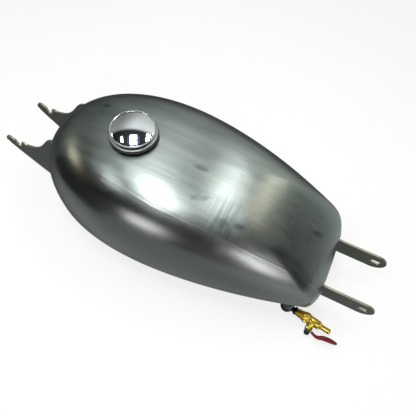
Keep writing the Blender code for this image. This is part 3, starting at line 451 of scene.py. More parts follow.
def plate_steel():
    """Hot-rolled plate with its oiled scale; its cut edges are painted paler, partly as their bare metal and
    partly as a painted highlight.
    """
    look = Look("plate_steel", (0.09, 0.093, 0.08), 0.45, 1.0)
    patch = look.noise(22.0, detail=6.0, rough=0.6)
    grit = look.noise(350.0)
    grain = look.noise(260.0, (0.06, 1.0, 1.0))
    colour = look.blotches(patch, (0.040, 0.044, 0.034), (0.072, 0.077, 0.060))
    # Cut edges painted paler: partly their bare metal, partly a painted highlight.
    surface = look.nodes.new("ShaderNodeNewGeometry")
    flat = look.math("ABSOLUTE", look.split(surface.outputs["Normal"], "Y"), 0.0)
    edge = look.range(flat, 0.35, 0.85, 1.0, 0.0, smoothly=True)
    colour = look.mix(edge, colour, look.mix(patch, (0.22, 0.215, 0.17), (0.36, 0.35, 0.28)))
    rough = look.range(patch, 0.3, 0.7, 0.38, 0.55)
    normal = look.bump(grit, 0.12, 0.0004)
    normal = look.bump(grain, 0.10, 0.0004, normal)
    return look.finish(colour, rough, normal)


def dark_steel():
    """Blackened fittings, slightly oily."""
    look = Look("dark_steel", (0.035, 0.038, 0.036), 0.36, 1.0)
    patch = look.noise(60.0, detail=5.0)
    grit = look.noise(500.0)
    colour = look.blotches(patch, (0.010, 0.011, 0.010), (0.030, 0.031, 0.027))
    rough = look.range(patch, 0.3, 0.7, 0.30, 0.48)
    return look.finish(colour, rough, look.bump(grit, 0.15, 0.0003))


def chrome():
    """Bright on the cap's dome and satin on the rim below it; the waist between the two is painted
    near-black as shade.
    """
    look = Look("chrome", (0.62, 0.63, 0.64), 0.045, 1.0)
    smear = look.noise(40.0, detail=5.0, rough=0.6)
    colour = look.blotches(smear, (0.60, 0.61, 0.62), (0.66, 0.665, 0.67), 0.35)
    dome = look.spot((CAP_X, 0.0, 84.0), (27.7, 27.7, 400.0), 0.0, 0.006)
    off_dome = look.math("SUBTRACT", 1.0, dome)
    below = look.math("MAXIMUM", off_dome, look.height(0.0786, 0.0790, 1.0, 0.0))
    # Painted shade: the waist between bead and flange is painted near-black.
    painted_waist_shade = look.math(
        "MULTIPLY", look.height(0.0751, 0.0756, 0.0, 1.0), look.height(0.0780, 0.0789, 1.0, 0.0)
    )
    colour = look.mix(below, colour, (0.25, 0.275, 0.265))
    colour = look.mix(painted_waist_shade, colour, (0.02, 0.021, 0.021))
    rough = look.range(smear, 0.35, 0.75, 0.03, 0.075)
    rough = look.math("ADD", rough, look.math("MULTIPLY", below, 0.38))
    return look.finish(colour, rough, look.bump(smear, 0.02, 0.0004))


def zinc():
    look = Look("zinc_plate", (0.42, 0.43, 0.43), 0.3, 1.0)
    patch = look.noise(90.0, detail=5.0)
    grit = look.noise(500.0)
    colour = look.blotches(patch, (0.24, 0.25, 0.25), (0.46, 0.46, 0.45))
    rough = look.range(patch, 0.3, 0.7, 0.22, 0.4)
    return look.finish(colour, rough, look.bump(grit, 0.12, 0.0003))


def brass():
    """Turned brass with painted shade: its underside and hollows are painted dark brown, and its top is left
    bright.
    """
    look = Look("brass", (0.60, 0.42, 0.11), 0.24, 1.0)
    patch = look.noise(60.0, detail=4.0)
    rings = look.noise(900.0, (1.0, 0.05, 0.05), (0.0, 0.0, math.radians(7.0)), detail=2.0)
    surface = look.nodes.new("ShaderNodeNewGeometry")
    # Painted shade: hollows darken to deep brown.
    hollow = look.range(surface.outputs["Pointiness"], 0.40, 0.5, 0.6, 0.0)
    colour = look.blotches(patch, (0.86, 0.64, 0.10), (0.76, 0.55, 0.085), 0.3, 0.75)
    # Painted shade: faces turned away from overhead darken to brown, so the top stays bright.
    colour = look.mix(look.facing((0.05, 0.1, 0.99), 0.1, 0.75, 1.0, 0.0), colour, (0.20, 0.115, 0.016))
    colour = look.mix(hollow, colour, (0.12, 0.07, 0.012))
    rough = look.range(patch, 0.3, 0.7, 0.30, 0.36)
    return look.finish(colour, rough, look.bump(rings, 0.03, 0.0002))


def rubber():
    look = Look("black_rubber", (0.012, 0.012, 0.012), 0.6, 0.0)
    patch = look.noise(60.0, detail=4.0)
    grit = look.noise(700.0)
    colour = look.blotches(patch, (0.008, 0.008, 0.009), (0.02, 0.02, 0.02))
    rough = look.range(patch, 0.3, 0.7, 0.5, 0.7)
    return look.finish(colour, rough, look.bump(grit, 0.2, 0.0003))


def ptfe():
    look = Look("white_ptfe", (0.82, 0.82, 0.79), 0.45, 0.0)
    patch = look.noise(80.0, detail=4.0)
    colour = look.blotches(patch, (0.76, 0.76, 0.73), (0.86, 0.86, 0.84))
    return look.finish(colour, look.range(patch, 0.3, 0.7, 0.38, 0.52), look.bump(patch, 0.1, 0.0003))


def vinyl():
    """Dipped vinyl: thick and half glossy, with a slight orange peel."""
    look = Look("red_vinyl", (0.17, 0.012, 0.018), 0.34, 0.0, Specular_IOR_Level=0.22)
    patch = look.noise(70.0, detail=4.0)
    peel = look.noise(320.0, detail=2.0)
    colour = look.blotches(patch, (0.105, 0.003, 0.006), (0.155, 0.006, 0.010))
    rough = look.range(patch, 0.3, 0.7, 0.28, 0.42)
    return look.finish(colour, rough, look.bump(peel, 0.25, 0.0005))


STEEL = raw_steel()
WELD_BEAD = weld_bead()
PLATE = plate_steel()
DARK = dark_steel()
CHROME = chrome()
ZINC = zinc()
BRASS = brass()
RUBBER = rubber()
PTFE = ptfe()
VINYL = vinyl()

CAD_LOOKS = {
    "tunnel": STEEL, "floor_left": STEEL, "floor_right": STEEL, "filler_neck": STEEL,
    "front_bracket_left": PLATE, "front_bracket_right": PLATE,
    "rear_strap_left": PLATE, "rear_strap_right": PLATE, "outlet_bung": PLATE,
    "outlet_elbow": DARK, "cap_plug": ZINC, "cap_vent_valve": RUBBER, "cap_gasket": RUBBER,
    "cap_dome": CHROME, "valve_body": BRASS, "valve_barb": BRASS, "valve_stem": BRASS,
    "valve_ball": CHROME, "ball_seat_inlet": PTFE, "ball_seat_outlet": PTFE, "stem_seal": PTFE,
    "lever_arm": ZINC, "lever_grip": VINYL, "lever_washer": DARK, "lever_nut": DARK,
}
PLATE_EDGE = 0.45
LEVER_EDGE = 0.2
EDGE_BREAKS = {
    "front_bracket_left": PLATE_EDGE, "front_bracket_right": PLATE_EDGE,
    "rear_strap_left": PLATE_EDGE, "rear_strap_right": PLATE_EDGE, "lever_arm": LEVER_EDGE,
}
for name, look in CAD_LOOKS.items():
    node = frame["nodes"][name]
    node.data.materials.clear()
    node.data.materials.append(look)
    smooth(node.data, 32.0)
    width = EDGE_BREAKS.get(name)
    if width is not None:
        bevel = node.modifiers.new("edge_break", "BEVEL")
        bevel.width = width * MM
        bevel.segments = 3
        bevel.limit_method = "ANGLE"
        bevel.angle_limit = math.radians(50.0)
        bevel.harden_normals = True

# ---------------- tank skin
SECTORS = 240
RINGS = 72
RING_POWER = 1.7
CUT_GAP = 0.3
CUT_PAST = 12.0
CUT_LOW = -70.0
NECK_CUT_LOW = 40.0
NECK_CUT_HIGH = 80.0
FLANK_FROM = 4.0
FLANK_BLEND = 34.0


def dome_mesh():
    """The pressed skin's outer face, from the upper half of a sphere of sectors and rings."""
    bm = bmesh.new()
    bmesh.ops.create_uvsphere(bm, u_segments=SECTORS, v_segments=2 * RINGS, radius=1.0)
    bmesh.ops.delete(bm, geom=[v for v in bm.verts if v.co.z < -0.001], context="VERTS")
    for v in bm.verts:
        polar = math.acos(min(max(v.co.z, -1.0), 1.0)) / (0.5 * math.pi)
        v.co = skin_point(math.atan2(v.co.y, v.co.x), polar**RING_POWER) * MM
    bmesh.ops.recalc_face_normals(bm, faces=bm.faces)
    return mesh_from("tank_skin", bm)


def tunnel_cutter():
    """A box with a sloping top that clears the frame tunnel."""
    half = TUNNEL_OUTER + CUT_GAP
    front_low = (BODY_FRONT - CUT_PAST, -half, CUT_LOW)
    rear_high = (BODY_REAR + CUT_PAST, half, 0.0)
    wedge = box_mesh("tunnel_cut", front_low, rear_high)
    for v in wedge.vertices:
        if v.co.z > 0.5 * CUT_LOW * MM:
            v.co.z = (tunnel_z(v.co.x / MM) + SHEET + CUT_GAP) * MM
    return add("tunnel_cut", wedge)


def neck_cutter():
    made = add("neck_cut", cone_mesh("neck_cut", NECK_HOLE, NECK_CUT_LOW, NECK_CUT_HIGH))
    made.location.x = CAP_X * MM
    return made


def mark_flanks(mesh):
    """Stores how far each point lies down the flank, and its distance past the seam in mm."""
    flank = mesh.attributes.new("flank", "FLOAT", "POINT")
    seam_offset = mesh.attributes.new("seam_offset", "FLOAT", "POINT")
    for i, v in enumerate(mesh.vertices):
        beyond = abs(v.co.y) / MM - seam_half(min(max(v.co.x / MM, BODY_FRONT), BODY_REAR))
        t = min(max((beyond - FLANK_FROM) / FLANK_BLEND + 0.5, 0.0), 1.0)
        flank.data[i].value = t * t * (3.0 - 2.0 * t)
        seam_offset.data[i].value = beyond


skin = add("tank_skin", dome_mesh())
wall = skin.modifiers.new("sheet", "SOLIDIFY")
wall.thickness = SHEET * MM
wall.offset = -1.0
wall.use_even_offset = True
skin_cutters = (tunnel_cutter(), neck_cutter())
for cutter in skin_cutters:
    cut(skin, cutter)
skin_mesh = applied(skin)
for cutter in skin_cutters:
    bpy.data.objects.remove(cutter, do_unlink=True)
skin_mesh.materials.clear()
skin_mesh.materials.append(STEEL)
smooth(skin_mesh, 40.0)
mark_flanks(skin_mesh)
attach(skin, "tank")
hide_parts("top_panel", "side_panel_left", "side_panel_right")

# ---------------- cap and neck
TURN_STEPS = 128
MERGE_DISTANCE = 0.00001


def turned(name, profile, look, body, node, degrees=30.0):
    """A turned piece about the neck's axis; the profile's (r, z) run down its outer side."""
    bm = bmesh.new()
    verts = [bm.verts.new((r * MM, 0.0, z * MM)) for r, z in profile]
    for a, b in zip(verts, verts[1:]):
        bm.edges.new((a, b))
    if profile[0][0] > 0.0:
        bm.edges.new((verts[-1], verts[0]))
    made = add(name, mesh_from(name, bm))
    screw = made.modifiers.new("turn", "SCREW")
    screw.steps = TURN_STEPS
    screw.render_steps = TURN_STEPS
    screw.use_merge_vertices = True
    screw.merge_threshold = MERGE_DISTANCE
    mesh = applied(made)
    mesh.transform(Matrix.Translation((CAP_X * MM, 0.0, 0.0)))
    mesh.materials.clear()
    mesh.materials.append(look)
    smooth(mesh, degrees)
    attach(made, body)
    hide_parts(node)


def arc_points(centre_r, centre_z, radius, start, end, steps):
    """Points on an arc of the profile, with angles in degrees from +R towards +Z."""
    made = []
    for i in range(steps + 1):
        angle = math.radians(start + (end - start) * i / steps)
        made.append((centre_r + radius * math.cos(angle), centre_z + radius * math.sin(angle)))
    return made


DOME_TOP = 87.5
DOME_EDGE_R = 27.4
DOME_EDGE_Z = 80.9
DOME_SHEET = 1.0
RIM_LOW = 72.4
RING_R = 31.0
RING_ROUND = 0.6
RING_INNER_R = 22.5


def cap_shell():
    """The chromed cap: dome, rolled bead, waist and grip flange, hollow over the plug."""
    rise = DOME_TOP - DOME_EDGE_Z
    radius = (DOME_EDGE_R**2 + rise**2) / (2.0 * rise)
    full = math.degrees(math.asin(DOME_EDGE_R / radius))
    outer = arc_points(0.0, DOME_TOP - radius, radius, 90.0, 90.0 - full, 28)
    outer[0] = (0.0, DOME_TOP)
    inner = arc_points(0.0, DOME_TOP - radius, radius - DOME_SHEET, 90.0 - full, 90.0, 10)
    inner[-1] = (0.0, DOME_TOP - DOME_SHEET)
    rolled = [(27.5, 80.7)] + arc_points(28.35, 80.0, 1.15, 125.0, -75.0, 16)
    hollow = arc_points(28.2, 76.9, 1.35, 110.0, 250.0, 12)
    flange = [(28.6, 75.3)] + arc_points(29.8, 74.0, 1.1, 80.0, -50.0, 12)
    inside = [(30.2, RIM_LOW + 0.05), (23.6, RIM_LOW), (23.6, 73.6), (26.5, 74.2), (26.5, 79.2)]
    profile = outer + rolled + hollow + flange + inside + inner
    turned("cap_shell", profile, CHROME, "cap", "cap_dome", degrees=40.0)


def cap_ring():
    """The rubber sealing ring, with a rounded outer edge."""
    upper = arc_points(RING_R, 71.5, RING_ROUND, 90.0, 0.0, 6)
    lower = arc_points(RING_R, 70.2, RING_ROUND, 0.0, -90.0, 6)
    profile = [(RING_INNER_R, 72.1)] + upper + lower + [(RING_INNER_R, 69.6)]
    turned("cap_ring", profile, RUBBER, "cap_lift", "cap_gasket")


cap_shell()
cap_ring()

# ---------------- outlet, valve and lever
# Distances along the valve are measured from the elbow's corner, and up the stem from the valve's axis.
STEM_AT = 40.0
HEX_START = 28.0
HEX_END = 34.0
BODY_END = 48.3
PORT_R = 2.4
FINE_SIDES = 72
BORE_SIDES = 48
CHAMFER_SLOPE = 0.55

joint = next(j for j in frame["record"]["behaviour"]["joints"] if j["name"] == "lever_turn")
stem_way = Vector(joint["axis"]).normalized()
along = Vector((-stem_way.y, stem_way.x, 0.0)).normalized()
corner = Vector(joint["pos_m"]) - along * STEM_AT * MM
elbow_matrix = Matrix.Translation(corner)
valve_axes = Matrix((stem_way, along.cross(stem_way), along)).transposed().to_4x4()
valve_matrix = elbow_matrix @ valve_axes
to_stem = Matrix.Translation((0.0, 0.0, STEM_AT * MM)) @ Matrix.Rotation(math.radians(90.0), 4, "Y")
stem_matrix = valve_matrix @ to_stem
lever_matrix = stem_matrix @ Matrix.Rotation(math.radians(180.0), 4, "Z")


def lofted(name, rings, matrix):
    """A closed piece through rings of points, which all have the same number of points."""
    bm = bmesh.new()
    laid = [[bm.verts.new(Vector(point) * MM) for point in ring] for ring in rings]
    count = len(laid[0])
    for a, b in zip(laid, laid[1:]):
        for k in range(count):
            n = (k + 1) % count
            bm.faces.new((a[k], a[n], b[n], b[k]))
    bm.faces.new(laid[0])
    bm.faces.new(laid[-1])
    bmesh.ops.recalc_face_normals(bm, faces=bm.faces)
    mesh = mesh_from(name, bm)
    mesh.transform(matrix)
    return add(name, mesh)


def solid(name, rows, matrix, sides=FINE_SIDES, radius_at=None):
    """A piece of rings on the local Z axis; rows of (r, z), or of (r, z) passed to radius_at."""
    rings = []
    for r, z in rows:
        ring = []
        for k in range(sides):
            angle = 2.0 * math.pi * k / sides
            reach = r if radius_at is None else radius_at(r, z, k / sides)
            ring.append((reach * math.cos(angle), reach * math.sin(angle), z))
        rings.append(ring)
    return lofted(name, rings, matrix)


def joined(name, base, others, cutters, look, body, node, degrees=32.0):
    """The base with the others added and the cutters taken away, in place of a CAD node."""
    for other in others:
        cut(base, other, "UNION")
    for cutter in cutters:
        cut(base, cutter)
    mesh = applied(base)
    for other in others + cutters:
        bpy.data.objects.remove(other, do_unlink=True)
    mesh.materials.clear()
    mesh.materials.append(look)
    smooth(mesh, degrees)
    base.name = name
    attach(base, body)
    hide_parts(node)


def prism(name, flats, start, end, matrix, chamfer):
    """A hexagon with the corners of both ends turned off."""
    reach = 0.5 * flats / math.cos(math.radians(30.0))
    slope = chamfer * CHAMFER_SLOPE
    rows = [(reach - chamfer, start), (reach, start + slope), (reach, end - slope), (reach - chamfer, end)]

    def six(r, z, part):
        inside = math.radians((part * 360.0 + 30.0) % 60.0 - 30.0)
        return min(r, 0.5 * flats / math.cos(inside))

    return solid(name, rows, matrix, radius_at=six)


def helix(start, end, pitch, depth):
    """Radius of a thread's crests and roots at a height and a part of a turn."""

    def radius_at(r, z, part):
        if not start < z < end:
            return r
        phase = (z / pitch - part) % 1.0
        ends = min(1.0, (z - start) / pitch, (end - z) / pitch)
        return r - depth * (1.0 - abs(2.0 * phase - 1.0)) * ends

    return radius_at


ELBOW_DROP = 39.0
BUNG_LENGTH = 11.0
ELBOW_R = 9.2
LEG_R = 7.2
LEG_NECK_R = 5.8
LEG_BORE_R = 3.4
WAIST_R = 3.9
COLLAR_R = 5.9
COLLAR_AT = 12.0
COLLAR_END = 14.3
SOCKET_R = 5.3


def elbow():
    """A round corner with a leg up into the bung, and a collared socket for the valve's thread."""
    bend = solid("elbow_bend", arc_points(0.0, 0.0, ELBOW_R, -89.0, 89.0, 28), elbow_matrix)
    leg_top = ELBOW_DROP - BUNG_LENGTH - 1.0
    leg = solid("elbow_leg", [
        (LEG_R, 0.0), (LEG_R, leg_top - 1.2), (LEG_R - 0.3, leg_top - 0.4), (LEG_R - 1.0, leg_top),
        (LEG_NECK_R, leg_top + 0.4), (LEG_NECK_R, ELBOW_DROP - 2.6), (LEG_NECK_R - 0.6, ELBOW_DROP - 2.0),
    ], elbow_matrix)
    waist = solid("elbow_waist", [
        (WAIST_R, 0.5), (WAIST_R, COLLAR_AT - 1.0), (WAIST_R + 0.6, COLLAR_AT - 0.5),
        (COLLAR_R - 0.4, COLLAR_AT), (COLLAR_R - 0.1, COLLAR_AT + 0.4), (COLLAR_R, COLLAR_AT + 0.9),
        (COLLAR_R, COLLAR_END - 0.3), (COLLAR_R - 0.2, COLLAR_END),
    ], valve_matrix)
    socket = solid("elbow_socket", [
        (2.6, 0.2), (2.6, COLLAR_AT), (SOCKET_R, COLLAR_AT), (SOCKET_R, COLLAR_END + 3.2),
    ], valve_matrix)
    bore = solid("elbow_bore", [(LEG_BORE_R, -1.0), (LEG_BORE_R, ELBOW_DROP + 2.0)], elbow_matrix)
    joined("elbow", bend, [leg, waist], [socket, bore], DARK, "tank", "outlet_elbow", 40.0)


THREAD_START = 12.4
THREAD_END = HEX_START - 0.8
THREAD_R = 5.2
THREAD_TAPER = 0.12
THREAD_PITCH = 1.6
THREAD_DEPTH = 0.75
THREAD_ROWS = 96
NECK_R = 5.5
BARREL_R = 6.3
BAND_R = 6.8
HEX_FLATS = 15.0
GLAND_FLATS = 9.2
GLAND_START = 7.9
GLAND_END = 12.4
BALL_ROOM_R = 4.8
BALL_ROOM_START = STEM_AT - 6.6


def ball_valve():
    """The valve's body: taper thread, hexagon, banded barrel, stem boss and gland."""
    rows = [(4.2, THREAD_START - 0.8), (5.0, THREAD_START)]
    for i in range(1, THREAD_ROWS + 1):
        reach = (THREAD_END - THREAD_START) * i / THREAD_ROWS
        rows.append((THREAD_R + THREAD_TAPER * reach, THREAD_START + reach))
    rows += [
        (NECK_R, HEX_START - 0.3), (NECK_R, HEX_END + 0.4), (BARREL_R, HEX_END + 0.7),
        (BAND_R - 0.05, HEX_END + 1.1), (BAND_R, HEX_END + 2.2), (BAND_R - 0.1, HEX_END + 2.9),
        (BARREL_R, HEX_END + 3.2), (BARREL_R - 0.05, HEX_END + 3.6), (BARREL_R, HEX_END + 4.0),
        (BARREL_R, BODY_END - 0.9), (BARREL_R - 0.15, BODY_END - 0.3), (BARREL_R - 0.5, BODY_END),
    ]
    thread = helix(THREAD_START, THREAD_END, THREAD_PITCH, THREAD_DEPTH)
    barrel = solid("barrel", rows, valve_matrix, radius_at=thread)
    hexagon = prism("body_hexagon", HEX_FLATS, HEX_START, HEX_END, valve_matrix, 1.0)
    boss = solid("stem_boss", [
        (5.4, 2.0), (4.9, 6.2), (4.6, 7.0), (4.6, 7.4), (5.0, 7.8), (5.0, 8.2),
    ], stem_matrix)
    gland = prism("gland", GLAND_FLATS, GLAND_START, GLAND_END, stem_matrix, 0.45)
    cavity = solid("valve_cavity", [
        (PORT_R, 9.0), (PORT_R, BALL_ROOM_START),
        (BALL_ROOM_R, BALL_ROOM_START), (BALL_ROOM_R, BODY_END + 2.0),
    ], valve_matrix, BORE_SIDES)
    stem_bore = solid("stem_bore", [
        (2.3, 1.0), (2.3, 8.4), (3.5, 8.4), (3.5, 14.5),
    ], stem_matrix, BORE_SIDES)
    joined(
        "ball_valve", barrel, [hexagon, boss, gland], [cavity, stem_bore],
        BRASS, "tank", "valve_body",
    )


NIPPLE_R = 3.3
NIPPLE_END = 66.8
NIPPLE_HEX_R = 5.3
NIPPLE_HEX_FLATS = 11.6
NIPPLE_HEX_END = 51.0
SPIGOT_R = 4.5
BARB_R = 3.95
BARB_START = 52.2
BARB_PITCH = 2.9
BARBS = 5


def barbed_nipple():
    """The hose barb: a spigot in the body's end, a hexagonal collar and a row of barbs."""
    rows = [
        (SPIGOT_R, 46.0), (SPIGOT_R, BODY_END + 0.6), (NIPPLE_HEX_R, BODY_END + 0.6),
        (NIPPLE_HEX_R, NIPPLE_HEX_END), (NIPPLE_R + 0.3, NIPPLE_HEX_END + 0.3),
        (NIPPLE_R, NIPPLE_HEX_END + 0.8),
    ]
    for i in range(BARBS):
        start = BARB_START + i * BARB_PITCH
        rows += [
            (NIPPLE_R, start), (NIPPLE_R + 0.1, start + 0.2), (BARB_R, start + 0.45),
            (BARB_R, start + 0.75), (NIPPLE_R, start + BARB_PITCH - 0.15),
        ]
    rows += [(NIPPLE_R - 0.05, NIPPLE_END - 0.2), (NIPPLE_R - 0.25, NIPPLE_END)]
    nipple = solid("nipple", rows, valve_matrix)
    collar = prism("nipple_collar", NIPPLE_HEX_FLATS, BODY_END + 0.3, NIPPLE_HEX_END, valve_matrix, 0.5)
    bore = solid("nipple_bore", [(PORT_R, STEM_AT), (PORT_R, NIPPLE_END + 2.2)], valve_matrix, BORE_SIDES)
    joined("nipple", nipple, [collar], [bore], BRASS, "tank", "valve_barb")


NUT_LOW = 15.5
NUT_R = 3.6
NUT_CROWN_R = 3.7
NUT_FLATS = 7.8


def acorn_nut():
    """The domed nut that holds the lever on the stem."""
    rows = [(NUT_R, NUT_LOW + 0.3), (NUT_R, NUT_LOW + 2.2), (NUT_R + 0.12, NUT_LOW + 2.35)]
    rows += arc_points(0.0, NUT_LOW + 1.9, NUT_CROWN_R, 8.0, 62.0, 10)
    rows += [(1.0, NUT_LOW + 4.35), (0.3, NUT_LOW + 4.4)]
    crown = solid("crown_nut", rows, stem_matrix)
    hexagon = prism("nut_hexagon", NUT_FLATS, NUT_LOW, NUT_LOW + 2.3, stem_matrix, 0.4)
    bore = solid("nut_bore", [(2.1, 12.0), (2.1, NUT_LOW + 3.5)], stem_matrix, BORE_SIDES)
    joined("acorn_nut", crown, [hexagon], [bore], DARK, "lever", "lever_nut")


# The lever's middle line: distance out from the stem, and height over the valve's axis.
LEVER_LINE = (
    (-5.4, 13.5), (4.5, 13.5), (8.5, 14.5), (13.5, 15.5),
    (17.5, 14.4), (22.0, 12.3), (29.0, 10.6), (36.0, 9.7),
)
# The grip along that line: distance out, half width and half thickness.
GRIP_STATIONS = (
    (6.0, 4.1, 1.4), (6.15, 4.45, 1.7), (6.6, 4.7, 1.9), (11.0, 4.9, 2.0), (15.5, 5.3, 2.6),
    (20.0, 5.8, 3.3), (26.0, 6.0, 3.5), (32.0, 5.8, 3.3), (36.5, 5.3, 2.8), (39.5, 4.4, 2.2),
    (41.3, 3.0, 1.5), (41.9, 1.7, 0.8), (42.1, 0.5, 0.25),
)
GRIP_SIDES = 40
GRIP_ROUND = 0.7
GRIP_DROOP = 0.12
LONG_SPAN = 0.7
LONG_SPAN_RINGS = 5
POCKET_START = -5.0
POCKET_END = 36.3
POCKET_RINGS = 28
POCKET_HALF_WIDTH = 3.6
POCKET_HALF_THICKNESS = 1.0


def between(stations, distance):
    """Values of a row of stations at a distance, on a smooth curve through them."""
    for i in range(len(stations) - 1):
        if distance <= stations[i + 1][0] or i == len(stations) - 2:
            break
    p0 = stations[max(i - 1, 0)]
    p1 = stations[i]
    p2 = stations[i + 1]
    p3 = stations[min(i + 2, len(stations) - 1)]
    span = p2[0] - p1[0]
    t = (distance - p1[0]) / span
    h = t * t * (3.0 - 2.0 * t)
    values = []
    for k in range(1, len(p1)):
        slope_1 = (p2[k] - p0[k]) / (p2[0] - p0[0]) * span
        slope_2 = (p3[k] - p1[k]) / (p3[0] - p1[0]) * span
        eased = p1[k] + (p2[k] - p1[k]) * h
        values.append(eased + slope_1 * t * (1.0 - t) ** 2 - slope_2 * t * t * (1.0 - t))
    return values


def rounded(amount):
    return math.copysign(abs(amount) ** GRIP_ROUND, amount)


def grip_rings():
    distances = []
    for a, b in zip(GRIP_STATIONS, GRIP_STATIONS[1:]):
        count = 1 if b[0] - a[0] < LONG_SPAN else LONG_SPAN_RINGS
        distances += [a[0] + (b[0] - a[0]) * i / count for i in range(count)]
    distances.append(GRIP_STATIONS[-1][0])
    line_end = LEVER_LINE[-1][0]
    rings = []
    for distance in distances:
        half_width, half_thickness = between(GRIP_STATIONS, distance)
        middle = between(LEVER_LINE, min(distance, line_end))[0] - GRIP_DROOP * max(distance - line_end, 0.0)
        ring = []
        for k in range(GRIP_SIDES):
            angle = 2.0 * math.pi * k / GRIP_SIDES
            y = half_width * rounded(math.cos(angle))
            ring.append((distance, y, middle + half_thickness * rounded(math.sin(angle))))
        rings.append(ring)
    return rings


def pocket_rings():
    """The room for the lever's blade inside the grip."""
    rings = []
    for i in range(POCKET_RINGS + 1):
        distance = POCKET_START + (POCKET_END - POCKET_START) * i / POCKET_RINGS
        middle = between(LEVER_LINE, distance)[0]
        low, high = middle - POCKET_HALF_THICKNESS, middle + POCKET_HALF_THICKNESS
        rings.append([
            (distance, -POCKET_HALF_WIDTH, low), (distance, POCKET_HALF_WIDTH, low),
            (distance, POCKET_HALF_WIDTH, high), (distance, -POCKET_HALF_WIDTH, high),
        ])
    return rings


def lever_grip():
    grip = lofted("grip", grip_rings(), lever_matrix)
    pocket = lofted("grip_pocket", pocket_rings(), lever_matrix)
    joined("grip", grip, [], [pocket], VINYL, "lever", "lever_grip", 50.0)


elbow()
ball_valve()
barbed_nipple()
acorn_nut()
lever_grip()

# ---------------- welds
PLATE_Y = 37.0
HALF_PLATE = 1.5
PLATE_WELD_R = 0.95
PLATE_WELD_LOW = -33.0
PLATE_WELD_HIGH = 29.0
PLATE_WELD_POINTS = 90
PLATE_WELD_OUT = 0.35
WELD_SINK = 0.25
BUNG_WELD_R = 0.8
BUNG_WELD_RING_R = 7.3
BUNG_WELD_RISE = 0.4
BUNG_WELD_POINTS = 120


def bead(name, points, radius, closed=False):
    """A run of weld: a thick wavy line with its ripples."""
    curve = bpy.data.curves.new(name, "CURVE")
    curve.dimensions = "3D"
    curve.bevel_depth = radius * MM
    curve.bevel_resolution = 4
    curve.use_fill_caps = True
    spline = curve.splines.new("POLY")
    spline.points.add(len(points) - 1)
    for i, (point, place) in enumerate(zip(spline.points, points)):
        point.co = (*(Vector(place) * MM), 1.0)
        point.radius = 1.0 + 0.13 * math.sin(2.1 * i) + 0.08 * math.sin(0.37 * i + 1.0)
    spline.use_cyclic_u = closed
    line = bpy.data.objects.new(name + "_line", curve)
    pieces.objects.link(line)
    bpy.context.view_layer.update()
    graph = bpy.context.evaluated_depsgraph_get()
    mesh = bpy.data.meshes.new_from_object(line.evaluated_get(graph))
    bpy.data.objects.remove(line, do_unlink=True)
    mesh.materials.clear()
    mesh.shade_smooth()
    add(name, mesh, WELD_BEAD, "tank")


def skin_front_x(y, z):
    """x of the skin's front face at height z in the plane y."""
    near, far = BODY_FRONT - 5.0, BODY_WIDEST
    for _ in range(30):
        x = 0.5 * (near + far)
        if skin_z(x, y) < z:
            near = x
        else:
            far = x
    return far


def bracket_welds(side_of, label):
    """A run up each face of a front bracket, where it meets the skin."""
    for face, where in ((-1.0, "inner"), (1.0, "outer")):
        y = PLATE_Y + face * (HALF_PLATE + PLATE_WELD_OUT)
        run = []
        for i in range(PLATE_WELD_POINTS):
            z = PLATE_WELD_LOW + (PLATE_WELD_HIGH - PLATE_WELD_LOW) * i / (PLATE_WELD_POINTS - 1)
            run.append((skin_front_x(y, z) - WELD_SINK, side_of * y, z))
        bead("bracket_weld_" + where + "_" + label, run, PLATE_WELD_R)


def bung_weld():
    run = []
    for i in range(BUNG_WELD_POINTS):
        angle = 2.0 * math.pi * i / BUNG_WELD_POINTS
        x = corner.x / MM + BUNG_WELD_RING_R * math.cos(angle)
        y = corner.y / MM + BUNG_WELD_RING_R * math.sin(angle)
        run.append((x, y, SILL + BUNG_WELD_RISE))
    bead("bung_weld", run, BUNG_WELD_R, closed=True)


bracket_welds(-1.0, "left")
bracket_welds(1.0, "right")
bung_weld()

# ---------------- floor and surroundings, in metres
FLOOR_Z = CAD_LOW.z - 0.0005
FLOOR_HALF = 6.0
FLOOR_GLOW = 0.79
BACKDROP_R = 5.0
BACKDROP_GLOW = 0.9
CARD_WIDTH = 0.46
CARD_HEIGHT = 0.34
CARD_PLACE = (-0.43, -0.30, CAD_LOW.z + 0.17)
CARD_HEADING = -55.0


def grid_mesh(name, half, z=0.0):
    bm = bmesh.new()
    bmesh.ops.create_grid(bm, x_segments=1, y_segments=1, size=half, matrix=Matrix.Translation((0, 0, z)))
    return mesh_from(name, bm)


def ball_mesh(name, radius):
    bm = bmesh.new()
    bmesh.ops.create_uvsphere(bm, u_segments=32, v_segments=16, radius=radius)
    mesh = mesh_from(name, bm)
    mesh.shade_smooth()
    return mesh


def glowing(name, grey, strength):
    """A matt grey surface that also gives off white light."""
    look = Look(name, (grey, grey, grey), 0.9, 0.0)
    look.shader.inputs["Emission Color"].default_value = (1.0, 1.0, 1.0, 1.0)
    look.shader.inputs["Emission Strength"].default_value = strength
    return look.material


floor = add("floor", grid_mesh("floor", FLOOR_HALF, FLOOR_Z), glowing("pale_floor", 0.16, FLOOR_GLOW))
floor.visible_glossy = False

backdrop = add("backdrop", ball_mesh("backdrop", BACKDROP_R), glowing("pale_backdrop", 0.1, BACKDROP_GLOW))
backdrop.visible_glossy = False
backdrop.visible_diffuse = False
backdrop.visible_shadow = False
backdrop.visible_transmission = False

# A dark card off the tank's left front, which shows only in reflections.
card_look = Look("dark_card", (0.045, 0.047, 0.045), 0.9, 0.0)
card = add("dark_card", grid_mesh("dark_card", 0.5), card_look.material)
card.scale = (CARD_WIDTH, CARD_HEIGHT, 1.0)
card.rotation_euler = (math.radians(90.0), 0.0, math.radians(CARD_HEADING))
card.location = CARD_PLACE
card.visible_camera = False
card.visible_diffuse = False
card.visible_shadow = False

